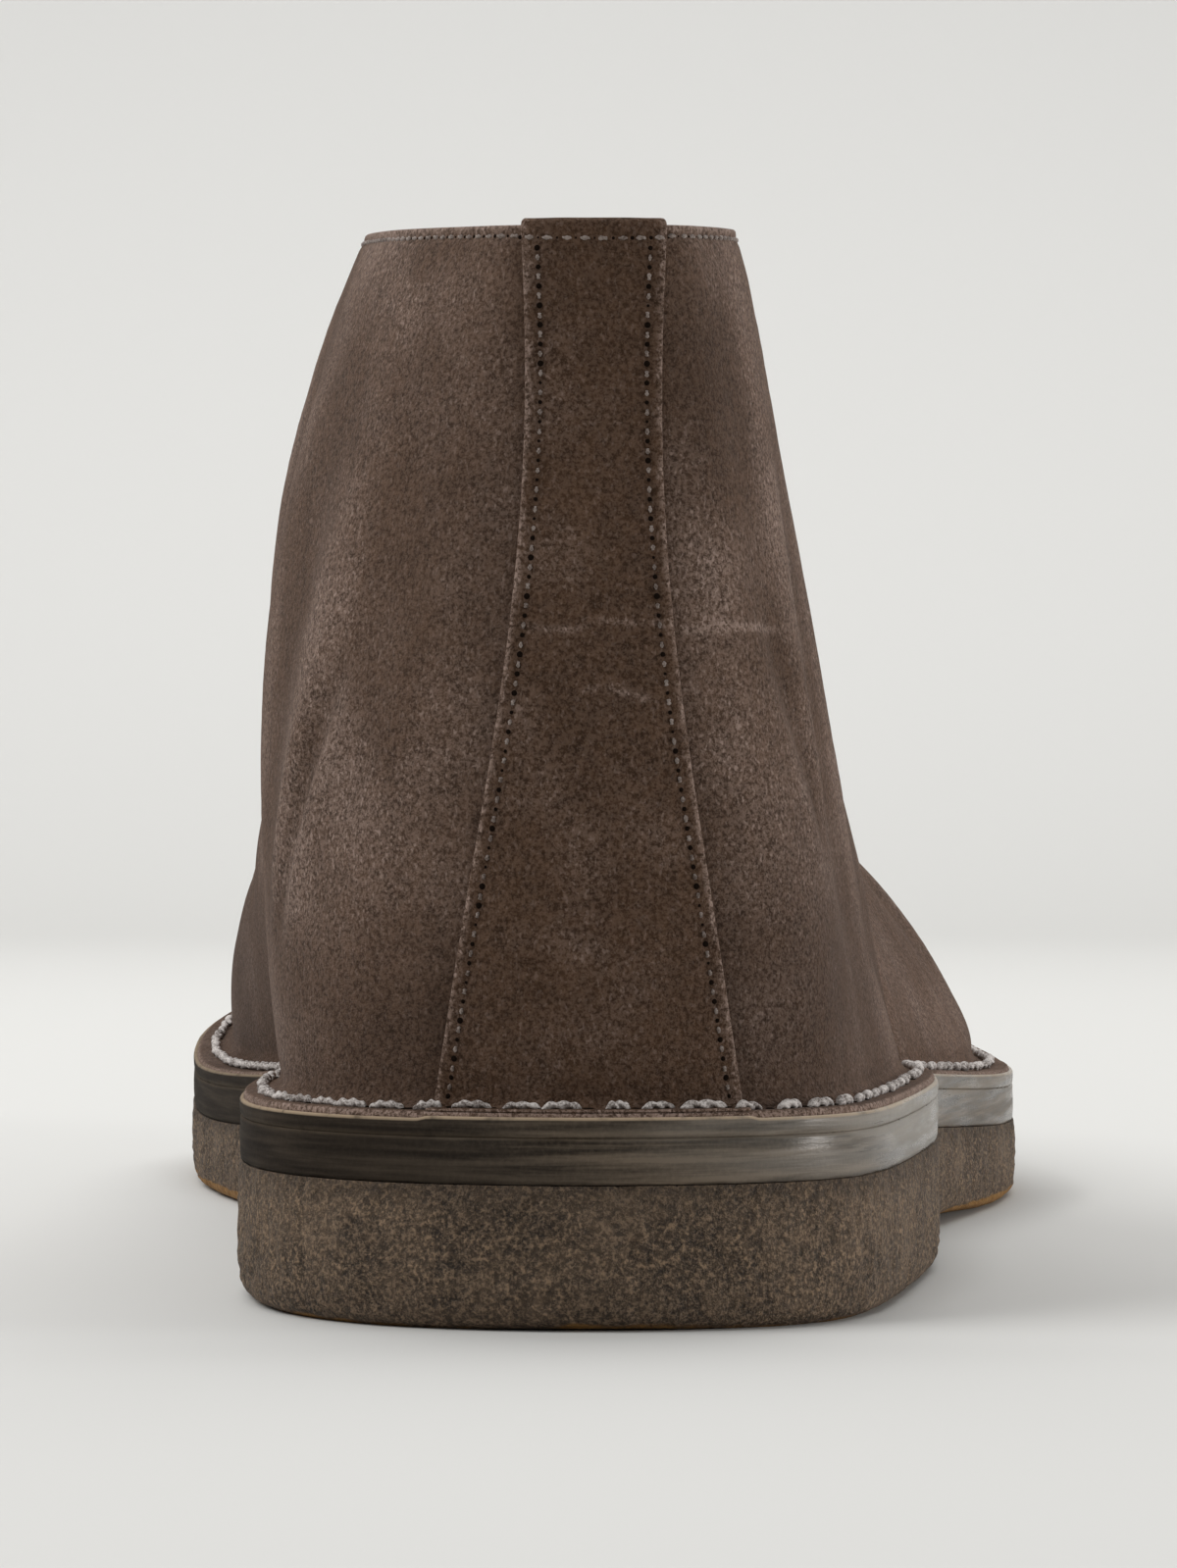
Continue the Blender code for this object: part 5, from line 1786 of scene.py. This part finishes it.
@dataclass
class Vamp:
    """Vamp from under the quarters round the toe, closed over the foot of the throat."""

    columns: int = 330
    overlap: float = 8.0
    under: float = -1.15
    toe_rub: float = 0.35
    bridge_rows: int = 13

    def base(self) -> tuple[Array, Array, Array]:
        """Points, normals and the distance ahead of the seam, in rows over the foot."""
        rises = levels((-1.75, 3), (-1.0, 7), (0.0, 57), (1.0, 0))
        rise, share = rises[:, None], np.linspace(0.0, 1.0, self.columns) ** 0.96
        sides = []
        for side in Side:
            start = LAST.turn_of(SEAMS[side].foot(rises) - self.overlap)[:, None]
            turn = start + (math.pi - start) * share[None, :]
            ahead = LAST.foot_of(turn) - SEAMS[side].foot(rises)[:, None]
            turn = turn if side is Side.OUTER else FULL_TURN - turn
            sides.append((LAST.skin(turn, rise), LAST.skin_normal(turn, rise), ahead))
        (outer, outer_normal, ahead), (arch, arch_normal, arch_ahead) = sides
        self.join_ridge(outer, arch, outer_normal, arch_normal)
        shares = np.linspace(0.0, 1.0, self.bridge_rows + 2)[1:-1]
        middle = np.stack([Throat.bridge(outer[:, k], arch[:, k], shares)
                           for k in range(self.columns)], axis=1)
        turned = shares[:, None, None]
        middle_normal = unit((1.0 - turned) * outer_normal[-1] + turned * arch_normal[-1])
        points = np.concatenate([outer, middle, arch[::-1]])
        normals = np.concatenate([outer_normal, middle_normal, arch_normal[::-1]])
        between = np.broadcast_to(ahead[-1], (self.bridge_rows, self.columns))
        return points, normals, np.concatenate([ahead, between, arch_ahead[::-1]])

    @staticmethod
    def join_ridge(outer: Array, arch: Array, outer_normal: Array, arch_normal: Array) -> None:
        """Let both sides meet in one line where the throat is closed."""
        near = np.linalg.norm(outer[-1] - arch[-1], axis=-1) < 0.6
        middle = 0.5 * (outer[-1] + arch[-1])
        normal = unit(outer_normal[-1] + arch_normal[-1])
        for edge, normals in ((outer[-1], outer_normal[-1]), (arch[-1], arch_normal[-1])):
            edge[near], normals[near] = middle[near], normal[near]
        blend = np.linspace(0.0, 1.0, 6)[1:-1]
        for k, share in enumerate(blend):
            row = -len(blend) - 1 + k
            for normals in (outer_normal, arch_normal):
                mixed = unit((1.0 - 0.7 * share) * normals[row] + 0.7 * share * normal)
                normals[row] = np.where(near[:, None], mixed, normals[row])

    def make(self, finishes: Finishes) -> Piece:
        """Make the vamp."""
        points, normals, ahead = self.base()
        lift, shade, rub = folds_wear_and_painted_light(points)
        free = smooth_step(ahead, 0.4, 9.0)
        outer = points + (self.under * (1.0 - free) + free * lift)[..., None] * normals
        inner = points - LAST.wall_thickness * normals
        # painted shade just in front of the quarters' lapped edge
        shade = shade + 0.35 * (1.0 - smooth_step(ahead, 0.0, 2.5))
        toe = smooth_step(points[..., 1], 262.0, 292.0) * np.clip(0.5 + grain(points, 8.0, 2), 0.0, 1.0)
        maker = PieceMaker("vamp", ("rub", "shade"))
        maker.sheet(outer, inner, 0.5, folded=True, rub=np.clip(rub + self.toe_rub * toe, 0.0, 1.0),
                    shade=np.clip(shade, 0.0, 1.0), edge={"rub": 0.6})
        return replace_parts(maker.make(finishes.suede, "suede", weld=0.02), "upper")


@dataclass
class Tongue:
    """Suede tongue, held under the vamp at its foot and free above."""

    half: float = 21.0
    foot_half: float = 15.0
    under_vamp: float = 14.0
    above: float = 3.0
    thickness: float = 2.0
    rows: int = 64
    columns: int = 56

    def make(self, finishes: Finishes) -> Piece:
        """Make the tongue."""
        end = THROAT.length + self.under_vamp
        outer, inner = [], []
        for share in np.linspace(0.0, 1.0, self.rows):
            down = 1.0 + share * (end - 1.0)
            half = self.half + (self.foot_half - self.half) * share ** 2
            free = 1.0 - float(smooth_step(down, THROAT.length - 14.0, THROAT.length + 4.0))
            depth = LAST.wall_thickness + 0.6 + 3.0 * free
            middle, _, _, out = THROAT.axes(down, np.linspace(half, -half, self.columns))
            outer.append(middle - depth * out)
            inner.append(middle - (depth + self.thickness) * out)
        faces = []
        corner = np.linspace(-1.0, 1.0, self.columns)[:, None] ** 4
        for rows in (np.array(outer), np.array(inner)):
            upward = unit(rows[0] - rows[4])
            more = [rows[0] + share * (self.above - 1.6 * corner) * upward for share in (1.0, 0.66, 0.33)]
            faces.append(np.concatenate([more, rows]))
        outer, inner = faces
        normal = unit(outer - inner)
        swell = 0.14 * grain(outer, 12.0, 2)
        maker = PieceMaker("tongue_leather", ("rub", "shade"))
        rub = np.clip(0.6 * grain(outer, 13.0, 2) + 0.12, 0.0, 1.0)
        maker.sheet(outer + (swell - 0.1)[..., None] * normal, inner, 0.6, rub=rub, edge={"rub": 0.6})
        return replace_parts(maker.make(finishes.suede, "suede", weld=0.002), "tongue")


# ---- eyelets and lace

@dataclass
class Lacing:
    """Two pairs of eyelets, with a bar over the lower pair and a crossing into the upper pair."""

    upper: float = 15.0
    lower: float = 36.0
    from_edge: float = 8.5
    hole: float = 2.5
    bore: float = 1.75
    barrel: float = 2.15
    lip: float = 3.6
    lip_low: float = 0.4
    lip_high: float = 0.9
    cord: float = 1.1
    samples: int = 520

    def places(self) -> dict[str, tuple[Array, Array, Array, Array]]:
        """Frame of each eyelet by its node's name."""
        found = {}
        for level, down in (("upper", self.upper), ("lower", self.lower)):
            for side, sign in (("outer", 1.0), ("arch", -1.0)):
                across = sign * (THROAT.edge(down) + self.from_edge)
                found[f"eyelet_{level}_{side}"] = THROAT.axes(down, across)
        return found

    def eyelet(self, node: str, finishes: Finishes) -> Piece:
        """Turned eyelet with a rolled lip."""
        middle, side, _, out = self.places()[node]
        low, roll, curl = -LAST.wall_thickness - 0.3, self.lip_high - 0.03, 0.25
        profile = [(self.bore, low + 0.15), (self.bore + 0.12, low), (self.barrel - 0.1, low),
                   (self.barrel, low + 0.1), (self.barrel, self.lip_low - 0.1),
                   (self.barrel + 0.1, self.lip_low)]
        for angle in np.linspace(-0.35, 0.5, 6) * math.pi:
            profile.append((self.lip - curl + curl * math.cos(angle), roll - curl + curl * math.sin(angle)))
        profile += [(self.lip - 0.8, roll + 0.03), (self.barrel + 0.2, roll), (self.bore + 0.25, roll - 0.12),
                    (self.bore + 0.05, roll - 0.4), (self.bore, roll - 0.8)]
        edge = circle(48, side, np.cross(out, side))
        rings = [middle + radius * edge + lift * out for radius, lift in profile]
        maker = PieceMaker(node.replace("eyelet", "lace_eyelet"))
        maker.skin(maker.grid(np.stack(rings + rings[:1])), closed=True)
        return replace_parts(maker.make(finishes.enamel, "dark_metal"), node)

    def punch(self, leather: Piece) -> None:
        """Cut the eyelet holes through a leather piece."""
        cutter = PieceMaker("hole_cutter")
        for middle, side, _, out in self.places().values():
            edge = self.hole * circle(24, side, np.cross(out, side))
            rings = [middle + share * edge + lift * out
                     for share, lift in ((0.0, -5.0), (1.0, -5.0), (1.0, 4.0), (0.0, 4.0))]
            cutter.skin(cutter.grid(np.stack(rings)), closed=True)
        tool = cutter.make(leather.data.materials[0], "suede")
        cut = leather.modifiers.new("eyelet_holes", "BOOLEAN")
        cut.operation, cut.solver, cut.object = "DIFFERENCE", "EXACT", tool
        bpy.context.view_layer.update()
        shaped = leather.evaluated_get(bpy.context.evaluated_depsgraph_get())
        mesh = bpy.data.meshes.new_from_object(shaped)
        leather.modifiers.clear()
        leather.data = mesh
        bpy.data.objects.remove(tool, do_unlink=True)

    def half_route(self, side: float, level: float) -> list[Triple]:
        """Route from the middle of the lower bar to the far upper eyelet.

        Args:
            side: 1 to start towards the outer side, -1 towards the arch side.
            level: Lift at the crossing.

        Returns:
            Places as down, across and lift.
        """
        low, high = self.lower, self.upper
        low_hole, high_hole = THROAT.edge(low) + self.from_edge, THROAT.edge(high) + self.from_edge
        edge = THROAT.edge(0.5 * (low + high))
        over = self.lip_high + self.cord + 0.4
        under = -LAST.wall_thickness - 1.65
        rows = [
            (low, 0.0, over - 0.5),
            (low, 0.5 * low_hole, over - 0.1),
            (low, low_hole - 2.6, over + 0.4),
            (low, low_hole - 0.4, over - 0.5),
            (low, low_hole, 0.0),
            (low, low_hole, -LAST.wall_thickness - 0.6),
            (low - 1.2, low_hole - 1.5, under - 0.1),
            (low - 4.0, low_hole - 4.8, under),
            (low - 6.2, edge + 0.8, under),
            (low - 8.0, 0.6 * edge, under + 1.2),
            (0.5 * (low + high), 0.0, level),
            (high + 7.6, -0.62 * edge, 0.5 * over),
            (high + 5.2, -(edge + 1.4), over),
            (high + 1.4, -(high_hole - 2.4), over + 0.4),
            (high + 0.2, -(high_hole - 0.4), over - 0.5),
            (high, -high_hole, 0.0),
            (high, -high_hole, -LAST.wall_thickness - 1.0),
        ]
        return [(down, side * across, lift) for down, across, lift in rows]

    def path(self) -> Array:
        """Points along the middle of the whole lace."""
        spread = self.cord + 0.15
        rows = self.half_route(-1.0, spread)[:0:-1] + self.half_route(1.0, -spread)
        points = np.array([THROAT.place(*row) for row in rows])
        knots = np.append(0.0, np.cumsum(np.sqrt(np.linalg.norm(np.diff(points, axis=0), axis=1))))
        places = np.linspace(0.0, knots[-1], self.samples)
        return np.stack([open_spline(knots, points[:, k])(places) for k in range(3)], axis=-1)

    def lace(self, finishes: Finishes) -> Piece:
        """Round lace with a braided face."""
        path = self.path()
        forward = unit(np.gradient(path, axis=0))
        run = run_along(path)
        angle = 6.0 * np.linspace(0.0, FULL_TURN, 24, endpoint=False)
        side = np.cross(forward[0], UP)
        rings = []
        for place, ahead, twist in zip(path, forward, 2.6 * run):
            side = unit(side - ahead * side.dot(ahead))
            weave = np.maximum(np.sin(angle + twist), np.sin(angle - twist))
            size = (self.cord * (0.94 + 0.055 * weave))[:, None]
            rings.append(place + size * circle(24, side, np.cross(ahead, side)))
        ends = [np.broadcast_to(path[k], rings[0].shape) for k in (0, -1)]
        maker = PieceMaker("boot_lace")
        maker.skin(maker.grid(np.stack([ends[0], *rings, ends[1]])), closed=True)
        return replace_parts(maker.make(finishes.cord, "lace_cord"), "lace")


# ---- all stitching

@dataclass
class Stitching:
    """Rows of thread over the boot."""

    sole: Stitch = Stitch(4.8, 3.8, 0.39, 0.40, hole=0.60, uneven=0.24, turns=1.5, fineness=14, lean=0.60)
    strap: Stitch = Stitch(1.95, 0.66, 0.15, 0.09, 0.28, 0.16)
    collar: Stitch = Stitch(1.85, 1.20, 0.17, 0.10, 0.22, 0.14)
    seam: Stitch = Stitch(2.1, 1.35, 0.18, 0.10, 0.24, 0.12)
    sole_rise: float = -1.02

    def sew_sole(self, finishes: Finishes) -> None:
        """Thick pale thread that holds flange and midsole together."""
        turn = np.linspace(0.0, FULL_TURN, 1600)
        wander = 0.05 * np.sin(23.0 * turn) + 0.03 * np.sin(57.0 * turn + 1.0)
        normal = LAST.skin_normal(turn, -1.3)
        lift = 0.25 + BackStrap.flange_lift * BackStrap.cover(turn)
        line = LAST.skin(turn, self.sole_rise + wander) + lift[:, None] * normal
        work = Needlework("sole_stitches", 3)
        work.row(line, normal, self.sole)
        work.make(finishes.sole_thread, finishes.hole, "lace_cord")

    def sew_upper(self, finishes: Finishes, strap: BackStrap, quarters: Quarters) -> None:
        """Fine rows on strap, collar, facings and over the vamp."""
        work = Needlework("seam_stitches", 8)
        rises = np.linspace(-0.35, 0.973, 110)
        off = LAST.gap + strap.thickness - 0.14
        for sign in (1.0, -1.0):
            turn = np.array([strap.round_the_back(r, sign * (0.5 * strap.spread(r) - strap.stitch_inset))
                             for r in rises])
            normal = LAST.skin_normal(turn, rises)
            lift = off + (strap.flange_lift - strap.thickness) * (1.0 - strap.on_wall(rises))
            work.row(LAST.skin(turn, rises) + lift[:, None] * normal, normal, self.strap)
        line, normal = quarters.top_row()
        run = run_along(line)
        back = np.abs(line[:, 0] - float(LAST.top(np.array([0.0]))[0, 0]))
        covered = (back < 0.5 * float(strap.spread(1.0)) + 0.2) & (line[:, 1] < 20.0)
        first, last = np.flatnonzero(covered)[[0, -1]]
        for part in (slice(0, first), slice(last + 1, len(run))):
            work.row(line[part] - 0.20 * normal[part], normal[part], self.collar)
        part = slice(first, last + 1)
        over = line[part] + (off + 0.05 - quarters.outer_lift) * normal[part] - 0.35 * UP
        work.row(over, normal[part], self.collar)
        for seam in SEAMS.values():
            for back_off in seam.rows:
                line, normal = seam.line(back_off, -0.25, 0.985)
                work.row(line + (quarters.outer_lift - 0.06) * normal, normal, self.seam)
        work.make(finishes.seam_thread, finishes.hole, "lace_cord")


# ---- studio

@dataclass(frozen=True)
class Softbox:
    """One soft lamp that looks at the boot."""

    name: str
    place: Triple
    size: tuple[float, float]
    power: float
    colour: Colour = (1.0, 1.0, 1.0)
    aim: Triple = (0.0, -0.08, 0.06)

    def hang(self) -> None:
        """Put the lamp up."""
        lamp = bpy.data.lights.new(self.name, "AREA")
        lamp.shape, lamp.energy, lamp.color = "RECTANGLE", self.power, self.colour
        lamp.size, lamp.size_y = self.size
        holder = in_scene(self.name, lamp)
        holder.visible_camera = False
        holder.location = self.place
        holder.rotation_euler = (Vector(self.aim) - Vector(self.place)).to_track_quat("-Z", "Y").to_euler()


@dataclass
class Studio:
    """Pale sweep of paper, soft lamps and the camera behind the boot."""

    distance: float = 0.530
    eye_height: float = 0.055
    lens: float = 121.6
    sensor: float = 36.0
    air: Colour = (1.0, 0.995, 0.985)
    air_strength: float = 0.26
    sweep_start: float = 1.3
    sweep_radius: float = 0.9
    reach: float = 3.2
    lamps: tuple[Softbox, ...] = (
        Softbox("left_box", (-1.00, -0.40, 1.15), (0.8, 0.9), 13.0),
        Softbox("right_box", (0.90, -0.22, 0.13), (0.26, 0.18), 3.6),
        Softbox("top_box", (0.0, 0.75, 1.45), (1.8, 1.2), 15.0),
        Softbox("paper_box", (0.0, 0.70, 2.60), (3.0, 0.6), 24.0, aim=(0.0, 2.2, 0.5)),
    )

    def build(self) -> None:
        """Set up paper, lamps, world and camera."""
        self.paper()
        for lamp in self.lamps:
            lamp.hang()
        world = bpy.data.worlds.new("studio_air")
        world.use_nodes = True
        air = world.node_tree.nodes["Background"]
        air.inputs["Color"].default_value = (*self.air, 1.0)
        air.inputs["Strength"].default_value = self.air_strength
        bpy.context.scene.world = world
        bpy.context.scene.view_settings.view_transform = "Standard"
        self.camera()

    def paper(self) -> None:
        """Floor that rises behind the boot in one curve."""
        angles = np.linspace(0.0, 0.5 * math.pi, 32)
        start, radius = self.sweep_start, self.sweep_radius
        curve = [(-self.reach, 0.0), (start, 0.0)]
        curve += [(start + radius * math.sin(a), radius * (1.0 - math.cos(a))) for a in angles[1:]]
        curve.append((start + radius, self.reach))
        mesh = bpy.data.meshes.new("paper_sweep")
        corners = [(x, y, z) for y, z in curve for x in (-self.reach, self.reach)]
        faces = [(2 * k, 2 * k + 1, 2 * k + 3, 2 * k + 2) for k in range(len(curve) - 1)]
        mesh.from_pydata(corners, [], faces)
        mesh.shade_smooth()
        mesh.materials.append(Paper().make())
        sweep = in_scene("paper_sweep", mesh)

    def camera(self) -> None:
        """Look level along +Y at the back of the boot."""
        lens = bpy.data.cameras.new("camera")
        lens.lens, lens.sensor_width = self.lens, self.sensor
        lens.clip_start, lens.clip_end = 0.02, 30.0
        camera = in_scene("camera", lens)
        back = -0.5 * LAST.length * MM - self.distance
        camera.location = (-LAST.middle_across * MM, back, self.eye_height)
        camera.rotation_euler = (0.5 * math.pi, 0.0, 0.0)
        bpy.context.scene.camera = camera


def main() -> None:
    """Build every piece in order, sew them and light them."""
    logging.basicConfig(level=logging.INFO, format="%(name)s: %(message)s")
    finishes, sole = Finishes(), Sole()
    strap, quarters, lacing, stitching = BackStrap(), Quarters(), Lacing(), Stitching()
    for build in (sole.crepe, sole.midsole, sole.flange_edge, sole.sock, Vamp().make, Tongue().make,
                  strap.make):
        log.info("made %s", build(finishes).name)
    for build in (quarters.wrap, quarters.lining):
        leather = build(finishes)
        lacing.punch(leather)
        log.info("made %s", leather.name)
    for node in lacing.places():
        log.info("made %s", lacing.eyelet(node, finishes).name)
    log.info("made %s", lacing.lace(finishes).name)
    stitching.sew_sole(finishes)
    stitching.sew_upper(finishes, strap, quarters)
    log.info("sewed all rows")
    Studio().build()


if __name__ == "__main__":
    main()
